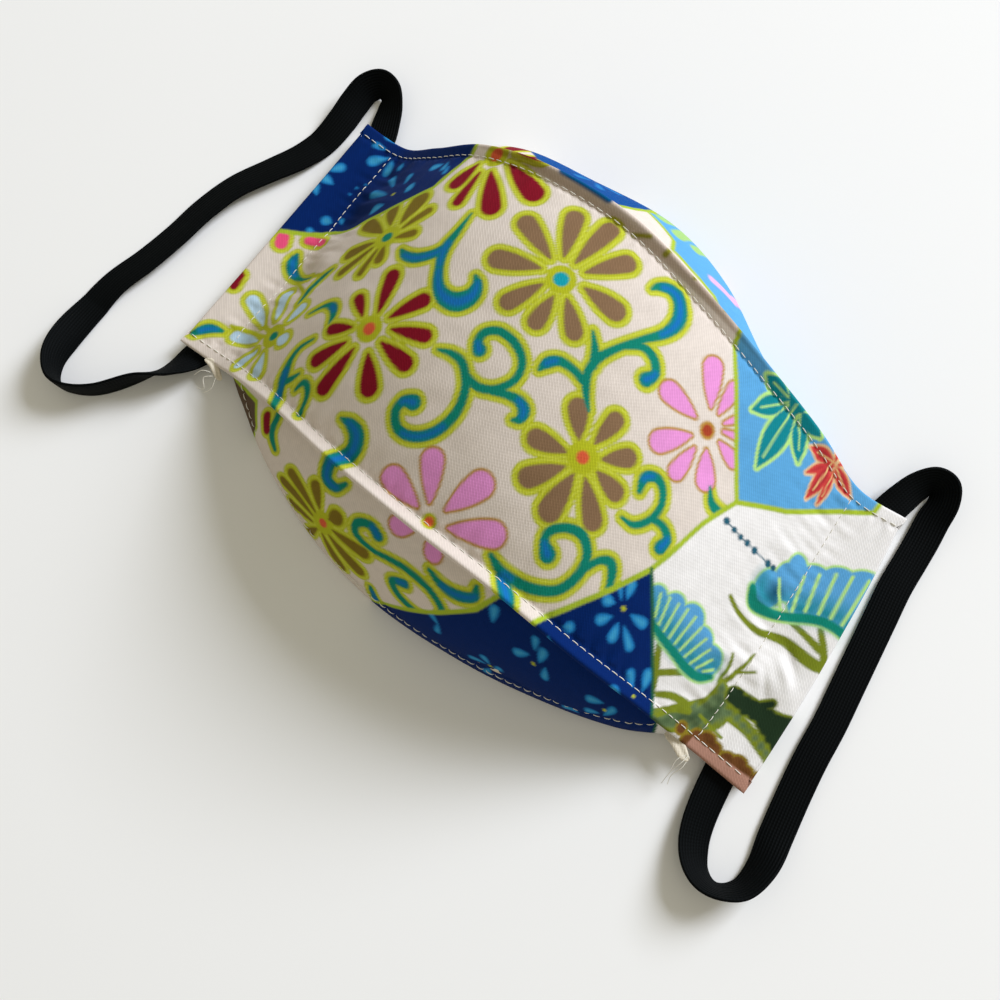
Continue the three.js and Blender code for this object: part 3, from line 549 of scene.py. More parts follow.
# Petals of the small blue blossoms: (u, v) to (u, v) and half width.
BLUE_PETALS = (
    (-110.4, 36, -106.8, 39.6, 1.7), (-103, 35.4, -104.8, 39.2, 1.7), (-113.6, 41, -110, 41.4, 1.1),
    (-118.8, 25.4, -116.6, 28.4, 1.5), (-117.6, 22.6, -114.6, 22.6, 1.5), (-118, 18.6, -115.8, 16.8, 1.3),
    (-97, 33.2, -90.6, 29.2, 1.3), (-85.8, 33.6, -85, 30.6, 1.2), (-80.6, 28.4, -79.6, 28.6, 2.0),
    (-99, 26.2, -88.6, 25.2, 1.5), (-88, 19.2, -84.6, 21, 1.8), (-98.8, 39.6, -98, 37.6, 1.0),
    (-77, 37.8, -74.4, 39.6, 1.5), (-72.4, 40.4, -71.8, 37.8, 1.2), (-70, 38.6, -69.2, 36, 0.8),
    (-107.6, 11.8, -105.6, 12.2, 1.5), (-109, 6.2, -108, 6.8, 1.0), (-103.4, 14.6, -102.4, 13.6, 0.8),
    (-107.8, 25.6, -107.8, 25.8, 0.5), (-106, 28, -106, 28.2, 0.4), (-108, 22.8, -108, 23, 0.4),
    (-112, 46, -104, 47, 1.6), (-96, 47, -90, 50, 1.5), (-84, 52, -78, 56, 1.6), (-92, 60, -86, 56, 1.6),
    (50.9, -27, 49.6, -23.6, 1.4), (49.6, -28.2, 47.6, -26.2, 0.7), (48.8, -30.2, 46.8, -30.9, 1.5),
    (54.6, -29.5, 58.8, -29, 1.5), (55, -33, 59.8, -35.8, 1.3), (53, -33.4, 54, -37, 1.5),
    (50.4, -33.2, 48.4, -35.8, 1.4), (41.4, -43.6, 42.8, -42.6, 1.4), (65, -40.8, 68, -42.8, 1.3),
    (69.8, -37.8, 71.4, -42, 1.6), (40, -49, 42, -52, 1.5), (64, -48, 68, -50, 1.8), (74, -47, 76, -52, 1.6),
    (35.6, -69.6, 38.4, -67, 1.4), (41.4, -62.6, 42, -66.4, 1.5), (45.6, -69.4, 44.4, -66.4, 1.3),
    (37.6, -61, 39, -64, 1.2), (26, -87.4, 29.6, -86, 1.3), (28.6, -82.6, 30.8, -84.6, 1.2),
    (34, -83.6, 33, -86, 1.2), (31.6, -88.4, 31, -92, 1.4), (10, -78.6, 13.4, -80.6, 1.0),
    (14, -84, 13.4, -80.8, 1.0), (24, -62, 25.4, -66, 1.4), (60, -64, 64, -62, 1.4), (68, -62, 67, -66, 1.4),
    (62, -69, 65, -67, 1.2), (56, -76, 60, -74, 1.2), (-28.8, 79, -23.5, 79, 1.5),
    (-29.9, 80.9, -27.2, 85.5, 1.4),
    (-32.1, 80.9, -34.8, 85.5, 1.5), (-33.2, 79, -38.5, 79, 1.4), (-32.1, 77.1, -34.8, 72.5, 1.5),
    (-29.9, 77.1, -27.2, 72.5, 1.4), (-18.6, 91, -23, 88.4, 1.2), (-17.4, 90.6, -17, 85.6, 1.2),
    (-39.6, 91, -36, 94.6, 1.2), (-40, 91.6, -41, 96.6, 1.2),
)
BLUE_HEARTS = ((51.7, -29.6, 0.7), (41, -68.6, 0.6), (31.4, -85.6, 0.6), (-84.8, 25.6, 0.6), (66, -64, 0.6),
               (-106, 41, 0.4), (-113, 22, 0.3), (-72, 43, 0.4), (70, -45, 0.5), (44, -46, 0.3),
               (14.5, -80, 0.4), (-104, 10, 0.3), (-31, 79, 0.6), (-17, 92, 0.5),
               (-40.6, 90, 0.5))

LEAF_BLADES = (
    (57.4, 47, 59.2, 24.6, 3.9, 0.2), (55, 46, 47.6, 35.4, 2.9, 0.2), (60.6, 46, 69.0, 34.8, 2.7, 0.2),
    (54, 46, 45, 46, 2.3, 0.2), (61, 46, 70, 45, 2.3, 0.2), (57, 44, 50, 66, 4.6, 0.3),
    (59, 44, 62, 72, 4.8, 0.3),
)
LEAF_VEINS = ((57.6, 46, 58.9, 28, 0.3), (55, 45, 49.4, 38, 0.28), (60.6, 45, 67, 37.6, 0.28),
              (54, 46, 48, 46, 0.25), (57, 50, 52, 62, 0.3), (59, 50, 61, 68, 0.3))
RED_BLADES = (
    (78.8, 45, 78.3, 29.6, 2.3, 0.2), (81, 43, 82.6, 31.4, 1.4, 0.2), (79, 43.4, 69.6, 41.0, 2.0, 0.2),
    (79, 43, 73.2, 34.6, 1.3, 0.2), (80, 43.2, 90.6, 40.4, 1.9, 0.2), (79, 44, 75, 60, 2.6, 0.3),
    (81, 44, 87, 58, 2.6, 0.3),
)
RED_VEINS = ((78.8, 44, 78.4, 33, 0.25), (79, 43.4, 72.4, 41.6, 0.22), (80, 43.2, 87.6, 41, 0.22),
             (81, 42, 82.2, 34, 0.2))
PALE_LEAF = ((-9, 82, -6, 100, 2.6), (-2, 78, -1, 100, 2.4), (4, 80, 6, 96, 2.0))
PINK_BANDS = ((14, 72, 22, 76, 1.6), (22, 78, 26, 92, 1.8), (10, 102, 20, 104, 2.4))

PINE_LOBES = (
    (57.6, -21.2, 3.0), (63.6, -20, 3.6), (70.4, -19.4, 4.4), (77, -21.6, 4.2), (83, -23.4, 4.4),
    (60, -24.6, 2.6), (66, -24.6, 4), (72, -24.6, 4.6), (78, -25.4, 4),
    (85.4, 3.6, 5.2), (89.6, 9.6, 5.4), (96.6, 13.6, 6), (102.6, 17, 6.4), (109, 19.4, 7), (97, 8, 5),
    (104, 11, 5), (110, 12, 5), (89, 14.4, 3.4), (117, 18, 7),
)
PINE_BANDS = (
    ((59, -26.4, 0.6), (65, -28, 1.1), (72, -28.8, 1.2), (79, -29.4, 1.3), (84, -28.4, 1.2), (87, -26, 0.8)),
    ((80.6, 0, 1.2), (84, -2.6, 1.6), (90, -1, 1.4), (95, 1.6, 1.3), (101, 5.4, 1.3), (106, 7, 1.3),
     (113, 6.6, 1.3), (119, 5, 1.2)),
)
PINE_RIBS = (
    (60.6, -25.6, 58, -20, 0.4), (63, -26.2, 61, -19, 0.4), (65.6, -26.6, 64.4, -18.6, 0.4),
    (68.2, -26.8, 67.8, -17.8, 0.4), (70.8, -27, 71.2, -17.8, 0.4), (73.4, -27.2, 74.6, -18.8, 0.4),
    (76, -27.4, 78, -19.8, 0.4), (78.8, -27.6, 81.2, -21, 0.4), (81.4, -27.2, 84, -22.4, 0.4),
    (84, -26.4, 86.4, -24, 0.4), (92.6, 2, 86.6, 8, 0.5), (95.6, 4, 92.6, 14, 0.5),
    (98.6, 6.4, 96, 17.4, 0.5),
    (102, 8, 99.8, 20.4, 0.5), (105.4, 8.8, 104, 22.4, 0.5), (109, 9, 108.4, 24, 0.5),
    (113, 9, 113.6, 24, 0.5),
)
TWIGS = (
    ((76.4, -6.6, 0.7), (82, -7.8, 0.8), (90, -7.2, 1.0), (95, -5.2, 1.2), (100, -4, 1.5), (108, -5, 1.9),
     (114, -4, 1.4)),
    ((96, 1.6, 0.9), (102, 0.8, 1.0), (108, -0.6, 1.2)),
    ((105, 4.4, 0.9), (108, 1, 1.1), (111, -3, 1.2)),
    ((67, -30, 1.1), (69, -33, 1.1), (72, -37, 1.2), (74, -41, 1.4)),
    ((79, -30.4, 1.0), (75, -33.4, 1.0), (71.6, -36, 1.0)),
    ((90, -25, 0.8), (89.6, -20, 0.7), (88, -17, 0.5)),
    ((92, -23, 0.9), (93.4, -17, 0.7), (94, -12.6, 0.4)),
    ((93.4, -19.4, 0.5), (97.2, -16.4, 0.4)),
    ((92, -35.6, 0.5), (96, -36, 0.6), (101, -36.8, 0.5)),
    ((76, -40, 0.9), (80, -37.6, 1.1), (86, -36, 1.2)),
    ((80, -44, 0.8), (83, -40, 1.0), (88, -37, 1.1)),
)
LIMBS = (
    ((91.4, -25, 1.2), (94, -29, 3.4), (94.4, -33, 4.6), (91, -37, 4.2), (86, -41, 3.6), (80, -46, 3.0),
     (76, -50, 2.6)),
    ((94, -30.4, 2.2), (100, -30, 1.8), (106, -30.8, 1.4), (112, -32.6, 1.6), (118, -34.6, 1.8)),
)
TRUNKS = (
    ((96.6, -25.2, 2.5), (101, -25.2, 2.7), (106, -25.0, 2.9), (111, -25.8, 4.2), (116, -26, 6.0),
     (121, -26, 6.4)),
    ((104.8, -22.6, 1.5), (106.2, -20.6, 1.0)),
)
BEADS = ((61.5, 7.2, 1.1), (65, 7, 0.9), (68, 6.9, 0.9), (70.8, 7.2, 1.0), (74, 7.3, 1.1), (80.3, 8.1, 1.1),
         (82.7, 8.6, 0.9))
CLOUDS = ((89.6, -41.8, 1.5), (95.4, -40.9, 2.0), (98.4, -40.0, 2.4), (101.4, -40.7, 2.0), (106, -40.9, 2.0),
          (109, -40.2, 2.3), (112, -41.0, 2.0), (116, -40.8, 2.2))
CLOUD_FOOT = (94, -43.6, 118, -43.6, 2.2)


def inside_outline(u, v, corners):
    """Distance to a closed outline, negative inside it, by counting the sides that a ray crosses."""
    corners = np.asarray(corners, float)
    inside = np.zeros(u.shape, bool)
    nearest = np.full(u.shape, 1e9)
    for (ax, ay), (bx, by) in zip(corners, np.roll(corners, -1, axis=0)):
        if ay != by:
            cross = (ay > v) != (by > v)
            inside ^= cross & (u < (bx - ax) * (v - ay) / (by - ay) + ax)
        nearest = np.minimum(nearest, to_segment(u, v, ax, ay, bx, by, 0, 0))
    return np.where(inside, -nearest, nearest)


def to_segment(u, v, ax, ay, bx, by, ra, rb, full=False):
    """Distance to a straight stroke whose half width runs from ra to rb, or swells early if full."""
    dx, dy = bx - ax, by - ay
    span = max(dx * dx + dy * dy, 1e-9)
    part = np.clip(((u - ax) * dx + (v - ay) * dy) / span, 0, 1)
    share = part * (1.9 - 0.9 * part) if full else part
    if full == "blade":
        share = 1 - np.sin(np.pi * np.clip(part, 0.02, 1))
    return np.hypot(u - ax - part * dx, v - ay - part * dy) - (ra + (rb - ra) * share)


class Paint:
    """Colours of a patch of cloth, laid on point by point, each ink over the ones before it."""

    def __init__(self, u, v, ground):
        self.u, self.v = u.ravel(), v.ravel()
        self.colour = np.tile(ground, (self.u.size, 1))

    def near(self, strokes, reach, full=False):
        """Distance to the nearest of some strokes (ax, ay, bx, by, ra, rb), far where none is near."""
        distance = np.full(self.u.size, 99.0)
        for ax, ay, bx, by, ra, rb in strokes:
            wide = max(ra, rb) + reach
            box = np.flatnonzero((self.u > min(ax, bx) - wide) & (self.u < max(ax, bx) + wide)
                                 & (self.v > min(ay, by) - wide) & (self.v < max(ay, by) + wide))
            if box.size:
                found = to_segment(self.u[box], self.v[box], ax, ay, bx, by, ra, rb, full)
                distance[box] = np.minimum(distance[box], found)
        return distance

    def ink(self, distance, colour, soft=0.5, amount=1.0):
        """Lays a colour where the distance is below zero, with a soft edge."""
        cover = (np.clip(0.5 - distance / soft, 0, 1) * amount)[:, None]
        self.colour = self.colour * (1 - cover) + np.asarray(colour) * cover


def petal_strokes(flowers):
    """The petals of some flowers as strokes, narrow at the foot."""
    return [(a, b, c, d, 0.35, r * 1.14) for _, petals in flowers for a, b, c, d, r in petals]


def scroll_strokes(scrolls, per_knot=6):
    """Curved scrolls as many short straight strokes."""
    strokes = []
    for knots in scrolls:
        line = spline(knots, (len(knots) - 1) * per_knot + 1)
        strokes += [(*a[:2], *b[:2], max(a[2], 0.15), max(b[2], 0.15)) for a, b in zip(line, line[1:])]
    return strokes


def discs(spots):
    """Round spots as strokes of no length."""
    return [(u, v, u + 0.01, v, r, r) for u, v, r in spots]


def even(strokes):
    """Strokes of one half width all along."""
    return [(a, b, c, d, r, r) for a, b, c, d, r in strokes]


def outline_band(paint, distance, width, colour, pale):
    """A coloured outline round a shape, with a paler line down its middle."""
    paint.ink(distance - width, colour)
    paint.ink(np.abs(distance - width * 0.55) - 0.2, pale, soft=0.5, amount=0.7)


def paint_cream(u, v):
    """The cream patch: flowers and scrolls inside lime outlines."""
    paint = Paint(u, v, CREAM)
    lime_flowers = TAUPE_FLOWERS + RED_FLOWERS + OLIVE_FLOWERS + PALE_FLOWERS
    petals = paint.near(petal_strokes(lime_flowers), 4, True)
    scrolls = paint.near(scroll_strokes(SCROLLS), 4)
    hearts = paint.near([(c[0], c[1], c[0] + 0.01, c[1], 4.2, 4.2) for c, _ in lime_flowers], 4)
    spots = paint.near(even(ROSE_SPOTS + RED_SPOTS), 4)
    pale = paint.near(scroll_strokes(PALE_STROKES), 4)
    outline_band(paint, np.minimum(scrolls, spots), 1.6, LIME, LIME_PALE)
    outline_band(paint, petals, 1.8, LIME, LIME_PALE)
    paint.ink(hearts, LIME)
    paint.ink(pale, LIME)
    pinks = paint.near(petal_strokes(PINK_FLOWERS), 3, True)
    paint.ink(pinks - 0.75, OCHRE)
    paint.ink(pinks, PINK)
    for flowers, colour in ((TAUPE_FLOWERS, TAUPE), (RED_FLOWERS, DARK_RED), (OLIVE_FLOWERS, OLIVE),
                            (PALE_FLOWERS, PALE_BLUE)):
        paint.ink(paint.near(petal_strokes(flowers), 1, True), colour)
    paint.ink(scrolls, TEAL)
    wide = [s for s in scroll_strokes(SCROLLS) if max(s[4], s[5]) > 1.45]
    heart = [(a, b, c, d, ra * 0.48, rb * 0.48) for a, b, c, d, ra, rb in wide]
    paint.ink(paint.near(heart, 2), BLUE, soft=1.5, amount=0.95)
    paint.ink(paint.near(even(ROSE_SPOTS), 1), ROSE)
    paint.ink(paint.near(even(RED_SPOTS), 1), DARK_RED)
    inks = {"turquoise": TURQUOISE, "orange": ORANGE, "teal": TEAL, "brick": BRICK}
    for (cu, cv, radius, name), _ in lime_flowers + PINK_FLOWERS:
        ring = paint.near([(cu, cv, cu + 0.01, cv, radius, radius)], 3)
        paint.ink(ring - 0.9, LIME if name != "brick" else OCHRE)
        paint.ink(ring, inks[name])
    return paint.colour


def paint_navy(u, v):
    """The navy patches: light blue blossoms."""
    paint = Paint(u, v, NAVY)
    from_heart = lambda x, y: min(math.hypot(x - heart[0], y - heart[1]) for heart in BLUE_HEARTS)
    outward = [(a, b, c, d, r) if from_heart(a, b) < from_heart(c, d) else (c, d, a, b, r)
               for a, b, c, d, r in BLUE_PETALS]
    petals = [(a, b, c, d, 0.3, r * 1.1) for a, b, c, d, r in outward]
    shape = paint.near(petals, 2, True)
    paint.ink(shape, PETAL_BLUE, soft=0.6)
    paint.ink(shape + 0.8, PETAL_GLOW, soft=0.9, amount=0.7)
    paint.ink(paint.near(discs([spot for spot in BLUE_HEARTS if spot[2] > 0.45]), 2), LIME)
    return paint.colour


def paint_sky(u, v):
    """The sky blue patch: a teal leaf, a red leaf, a pale leaf and pink bands."""
    paint = Paint(u, v, SKY)
    paint.ink(paint.near(even(PINK_BANDS), 2), BAND_PINK, soft=1.2)
    paint.ink(paint.near(even(PALE_LEAF), 2), LEAF_PALE, soft=0.8)
    blades = paint.near(LEAF_BLADES, 3, "blade")
    paint.ink(blades - 1.1, PALE_LIME)
    paint.ink(blades, LEAF_TEAL)
    paint.ink(paint.near(even(LEAF_VEINS), 1), PALE_LIME)
    reds = paint.near(RED_BLADES, 3, "blade")
    paint.ink(reds - 0.7, RED_LEAF_EDGE)
    paint.ink(reds, LEAF_RED)
    paint.ink(reds + 0.9, RED_LEAF_SHADE, soft=1.0, amount=0.7)
    paint.ink(paint.near(even(RED_VEINS), 1), RED_LEAF_VEIN, soft=0.4)
    return paint.colour


def paint_white(u, v):
    """The white patch: two pines, their branches, a trunk, a string of beads and a brown cloud."""
    paint = Paint(u, v, WHITE)
    twigs = paint.near(scroll_strokes(TWIGS), 3)
    rough = 0.9 * smooth_noise(paint.u, paint.v, 3.2, 41)
    limbs = paint.near(scroll_strokes(LIMBS), 3)
    trunks = paint.near(scroll_strokes(TRUNKS), 3)
    paint.ink(limbs - 0.5, TWIG)
    paint.ink(limbs + 0.9 + rough, GREY_GREEN, soft=1.6)
    paint.ink(limbs + 2.8 + rough, TRUNK, soft=2.6, amount=0.7)
    paint.ink(trunks - 0.5, TWIG)
    paint.ink(trunks + 0.1 + 0.4 * rough, TRUNK * 0.55, soft=0.9)
    paint.ink(twigs, TWIG)
    lobes = paint.near(discs(PINE_LOBES), 3)
    bands = paint.near(scroll_strokes(PINE_BANDS), 12)
    under = np.minimum(lobes, bands)
    paint.ink(under - 0.7, PALE_LIME)
    paint.ink(lobes, SKY)
    paint.ink(np.maximum(lobes, bands - 4.6), LEAF_TEAL, soft=6.5, amount=0.9)
    paint.ink(np.maximum(lobes, paint.near(discs(((88, 4.4, 2.2),)), 6)), PINE_SHADE, soft=5.0)
    paint.ink(paint.near(even(PINE_RIBS), 1), PALE_LIME)
    paint.ink(bands, TEAL)
    line = [(a[0], a[1], b[0], b[1], 0.22, 0.22) for a, b in zip(BEADS, BEADS[1:])]
    paint.ink(paint.near(line + discs(BEADS), 1), INK)
    clouds = paint.near(discs(CLOUDS) + even([CLOUD_FOOT]), 3)
    paint.ink(clouds - 0.8, CLOUD_EDGE)
    paint.ink(clouds, BROWN)
    return paint.colour


def print_and_shade_colour(u, v):
    """Linear colour of the printed cloth at fabric millimetres u and v, with painted shade on the nose fold's
    lip.
    """
    shape = u.shape
    u, v = u.ravel(), v.ravel()
    colour = paint_cream(u, v)
    navy, sky, white = paint_navy(u, v), paint_sky(u, v), paint_white(u, v)
    patches = ((NAVY_LEFT, navy), (ROYAL_PATCH, navy * 0.4 + ROYAL * 0.6), (SKY_PATCH, sky),
               (WHITE_PATCH, white), (NAVY_RIGHT, navy),
               (TAUPE_PATCH, np.tile(TAUPE_GROUND, (u.size, 1))),
               (DUSKY_PATCH, np.tile(DUSKY, (u.size, 1))))
    for corners, inks in patches:
        cover = np.clip(0.5 - inside_outline(u, v, corners) / 0.5, 0, 1)[:, None]
        colour = colour * (1 - cover) + inks * cover
    paint = Paint(u, v, CREAM)
    paint.colour = colour
    lines = [(*a, *b, 0.75, 0.75) for border in BORDERS for a, b in zip(border, border[1:])]
    outline = paint.near(lines, 3)
    paint.ink(outline, BORDER_GREEN)
    dark = [(*a, *b, 0.5, 0.5) for border in DARK_BORDERS for a, b in zip(border, border[1:])]
    paint.ink(paint.near(dark, 3), DARK_BORDER)
    paint.ink(paint.near(even(NOSE_TICKS), 2), TICK_GREEN, soft=0.7)
    paint.ink(paint.near(even(NOSE_BLOTS), 2), BLOT_GREEN, soft=1.6)
    paint.ink(paint.near([(-34, 51.4, -19, 51.4, 1.4, 1.4)], 2), NOSE_BLUE, soft=0.8)
    # Painted shade on the nose fold's lip: a band just past the stitch line is darkened towards tan.
    lip_shade = 0.62 * np.exp(-((v - 48.6) / 2.9) ** 2) * np.clip((v - 46.9) / 0.6, 0, 1)
    lip_shade = (lip_shade * np.clip((u + 66) / 12, 0, 1) * np.clip((60 - u) / 40, 0, 1))[:, None]
    paint.colour = paint.colour * (1 - lip_shade) + paint.colour * NOSE_LIP_SHADE * lip_shade
    return paint.colour.reshape(*shape, 3)


# ---------------------------------------------------------------- materials
def node_material(name):
    """A new node material, with its tree, shader and a helper that adds nodes."""
    material = bpy.data.materials.new(name)
    material.use_nodes = True
    tree = material.node_tree
    shader = tree.nodes["Principled BSDF"]

    def add(kind, **inputs):
        """A new node with its inputs set, a space written as an underscore."""
        node = tree.nodes.new(kind)
        for key, value in inputs.items():
            node.inputs[key.replace("_", " ")].default_value = value
        return node

    return material, tree, shader, add


def math_node(tree, operation, a, b=None, c=None):
    """A maths node whose inputs are numbers or sockets; returns its output."""
    node = tree.nodes.new("ShaderNodeMath")
    node.operation = operation
    for slot, value in enumerate((a, b, c)):
        if value is None:
            continue
        if isinstance(value, (int, float)):
            node.inputs[slot].default_value = value
        else:
            tree.links.new(value, node.inputs[slot])
    return node.outputs[0]


def fabric_map(tree):
    """The piece's own map of its cloth: its socket, and its length and width apart."""
    uv = tree.nodes.new("ShaderNodeUVMap")
    uv.uv_map = "fabric"
    split = tree.nodes.new("ShaderNodeSeparateXYZ")
    tree.links.new(uv.outputs[0], split.inputs[0])
    return uv.outputs[0], split.outputs[0], split.outputs[1]


def map_range(tree, value, from_low, from_high, to_low, to_high):
    """A node that carries one range of values to another; returns its output."""
    node = tree.nodes.new("ShaderNodeMapRange")
    ends = {"From Min": from_low, "From Max": from_high, "To Min": to_low, "To Max": to_high}
    for key, number in ends.items():
        node.inputs[key].default_value = number
    tree.links.new(value, node.inputs["Value"])
    return node.outputs[0]


def add_relief(tree, shader, height, strength, distance):
    """Bump from a height, to the shader's normal."""
    relief = tree.nodes.new("ShaderNodeBump")
    relief.inputs["Strength"].default_value = strength
    relief.inputs["Distance"].default_value = distance
    tree.links.new(height, relief.inputs["Height"])
    tree.links.new(relief.outputs[0], shader.inputs["Normal"])


def weave_height(tree, add, pitch):
    """Plain weave from the fabric map: threads of both directions, each over and under in turn."""
    uv, length, width = fabric_map(tree)
    wobble = add("ShaderNodeTexNoise", Scale=160.0, Detail=2.0)
    tree.links.new(uv, wobble.inputs["Vector"])
    turn = 2 * math.pi / (pitch * MM)
    shift = math_node(tree, "MULTIPLY", wobble.outputs[0], 2.4)
    along = math_node(tree, "ADD", math_node(tree, "MULTIPLY", length, turn), shift)
    across = math_node(tree, "ADD", math_node(tree, "MULTIPLY", width, turn), shift)
    warp = math_node(tree, "SINE", along)
    weft = math_node(tree, "SINE", across)
    over = math_node(tree, "SINE", math_node(tree, "MULTIPLY", math_node(tree, "ADD", along, across), 0.5))
    crossing = math_node(tree, "MULTIPLY", warp, weft)
    height = math_node(tree, "MULTIPLY_ADD", over, 0.35, crossing)
    return height, uv


def mix_colour(tree, blend, factor, a, b):
    """A colour mix node; returns its colour output."""
    node = tree.nodes.new("ShaderNodeMix")
    node.data_type = "RGBA"
    node.blend_type = blend
    for socket, value in ((node.inputs[0], factor), (node.inputs[6], a), (node.inputs[7], b)):
        if isinstance(value, bpy.types.NodeSocket):
            tree.links.new(value, socket)
        elif isinstance(value, (int, float)):
            socket.default_value = value
        else:
            socket.default_value = (*value, 1.0)
    return node.outputs[2]


def cotton(name, base=None, pitch=0.5, bump=0.35, roughness=0.86):
    """Matt woven cotton: printed where base is none, else of one dyed colour; painted shade darkens the low
    parts of the weave between the threads, and noise makes the tone patchy.
    """
    material, tree, shader, add = node_material(name)
    height, uv = weave_height(tree, add, pitch)
    if base is None:
        # The print attribute also carries the painted shade on the nose fold's lip.
        attribute = tree.nodes.new("ShaderNodeVertexColor")
        attribute.layer_name = "print"
        colour = attribute.outputs[0]
    else:
        flat = tree.nodes.new("ShaderNodeRGB")
        flat.outputs[0].default_value = (*base, 1.0)
        colour = flat.outputs[0]
    # Painted shade: colour darker where the weave is low, between the threads.
    weave_shade = map_range(tree, height, -1.3, 1.3, 0.74, 1.04)
    patchy = add("ShaderNodeTexNoise", Scale=420.0, Detail=3.0)
    tree.links.new(uv, patchy.inputs["Vector"])
    fade = map_range(tree, patchy.outputs[0], 0.0, 1.0, 0.9, 1.06)
    shade = math_node(tree, "MULTIPLY", weave_shade, fade)
    grey = tree.nodes.new("ShaderNodeCombineColor")
    for slot in range(3):
        tree.links.new(shade, grey.inputs[slot])
    tree.links.new(mix_colour(tree, "MULTIPLY", 1.0, colour, grey.outputs[0]), shader.inputs["Base Color"])
    add_relief(tree, shader, height, bump, 0.08 * MM)
    shader.inputs["Roughness"].default_value = roughness
    shader.inputs["Specular IOR Level"].default_value = 0.06
    shader.inputs["Sheen Weight"].default_value = 0.015
    shader.inputs["Sheen Roughness"].default_value = 0.5
    return material


def braided_elastic(name):
    """Black braid: diagonal plait on each rib, from the band's own map of length and width, with painted
    shade in the grooves and painted highlight on the ribs.
    """
    material, tree, shader, _ = node_material(name)
    _, length, width = fabric_map(tree)
    turn = 2 * math.pi / (0.9 * MM)
    rib = 2 * math.pi / (BAND_WIDTH / BAND_RIBS * MM)
    along = math_node(tree, "MULTIPLY", length, turn)
    across = math_node(tree, "MULTIPLY", width, rib)
    plait = math_node(tree, "SINE", math_node(tree, "ADD", along, math_node(tree, "SINE", across)))
    groove = math_node(tree, "COSINE", across)
    height = math_node(tree, "MULTIPLY_ADD", plait, 0.35, groove)
    # Painted shade and highlight: darker in the grooves, lighter on the ribs.
    rib_shade = map_range(tree, height, -1.2, 1.3, 0.0, 1.0)
    colour = mix_colour(tree, "MIX", rib_shade, (0.0003, 0.0006, 0.0007), (0.002, 0.0032, 0.0036))
    tree.links.new(colour, shader.inputs["Base Color"])
    add_relief(tree, shader, height, 0.5, 0.12 * MM)
    shader.inputs["Roughness"].default_value = 0.7
    shader.inputs["Specular IOR Level"].default_value = 0.06
    return material


def sewing_thread(name, base):
    """Twisted thread: its colour varied by fine noise."""
    material, tree, shader, add = node_material(name)
    coordinates = tree.nodes.new("ShaderNodeTexCoord")
    twist = add("ShaderNodeTexNoise", Scale=2600.0, Detail=2.0)
    tree.links.new(coordinates.outputs["Object"], twist.inputs["Vector"])
    light = tuple(min(1.0, x * 1.08) for x in base)
    dark = tuple(x * 0.8 for x in base)
    tree.links.new(mix_colour(tree, "MIX", twist.outputs[0], dark, light), shader.inputs["Base Color"])
    shader.inputs["Roughness"].default_value = 0.6
    shader.inputs["Sheen Weight"].default_value = 0.1
    return material


PRINTED = cotton("printed_cotton")
PLAIN = cotton("plain_cotton", tuple(linear(226, 216, 196)), pitch=0.6, bump=0.4)
ELASTIC = braided_elastic("black_elastic")
THREAD = sewing_thread("ecru_thread", (0.80, 0.77, 0.68))


# ---------------------------------------------------------------- ear loops
def band_frames(route, count):
    """Middle line of a loop with its width and thickness directions, turned by the edge angle."""
    place = np.linspace(0, len(route), count, endpoint=False)
    first = np.floor(place).astype(int)
    pick = lambda k: route[(first + k) % len(route)]
    x, y, lift, edge = through_four(pick(-1), pick(0), pick(1), pick(2), (place - first)[:, None]).T
    along = unit(np.stack([np.roll(x, -1) - np.roll(x, 1), np.roll(y, -1) - np.roll(y, 1), 0 * x], -1))
    edge = np.radians(edge)[:, None]
    level = np.stack([along[:, 1], -along[:, 0], 0 * x], -1)
    upward = np.array([0.0, 0.0, 1.0])
    wide = level * np.cos(edge) + upward * np.sin(edge)
    thick = -level * np.sin(edge) + upward * np.cos(edge)
    z = (FLOOR_GAP + BAND_THICKNESS / 2 * np.abs(np.cos(edge[:, 0]))
         + BAND_WIDTH / 2 * np.abs(np.sin(edge[:, 0])) + lift)
    return np.stack([x, y, z], -1) - MIDDLE, wide, thick


def make_loop(name, node, route):
    """Elastic: a flat profile with ribs on both faces and round edges, carried along its ring."""
    steps, around = 640, 64
    middle, wide, thick = band_frames(route, steps)
    turn = np.linspace(0, 2 * np.pi, around, endpoint=False)
    across = np.sign(np.cos(turn)) * np.abs(np.cos(turn)) ** 0.75
    rib = 0.86 + 0.14 * np.abs(np.cos(np.pi * BAND_RIBS * across / 2))
    face = np.sign(np.sin(turn)) * np.abs(np.sin(turn)) ** 0.35
    half_wide = (BAND_WIDTH / 2 - 0.05) * across
    half_thick = (BAND_THICKNESS / 2 - 0.03) * face * rib
    points = (middle[:, None] + wide[:, None] * half_wide[None, :, None]
              + thick[:, None] * half_thick[None, :, None])
    run = run_length(middle)
    uv = np.stack(np.broadcast_arrays(run[:, None] * MM, half_wide[None] * MM), -1)
    loop = new_object(name, points, grid_faces(steps, around, True, True), uv)
    dress(loop, ELASTIC, node)


make_loop("ear_loop_left_elastic", "ear_loop_left", LOOP_LEFT)
make_loop("ear_loop_right_elastic", "ear_loop_right", LOOP_RIGHT)


# ---------------------------------------------------------------- printed cloth
COLUMNS = 400
ROWS = np.interp(np.linspace(0, 1, COLUMNS), (ALONG_LOW - ALONG_LOW[0]) / np.ptp(ALONG_LOW), FINE_ROWS)


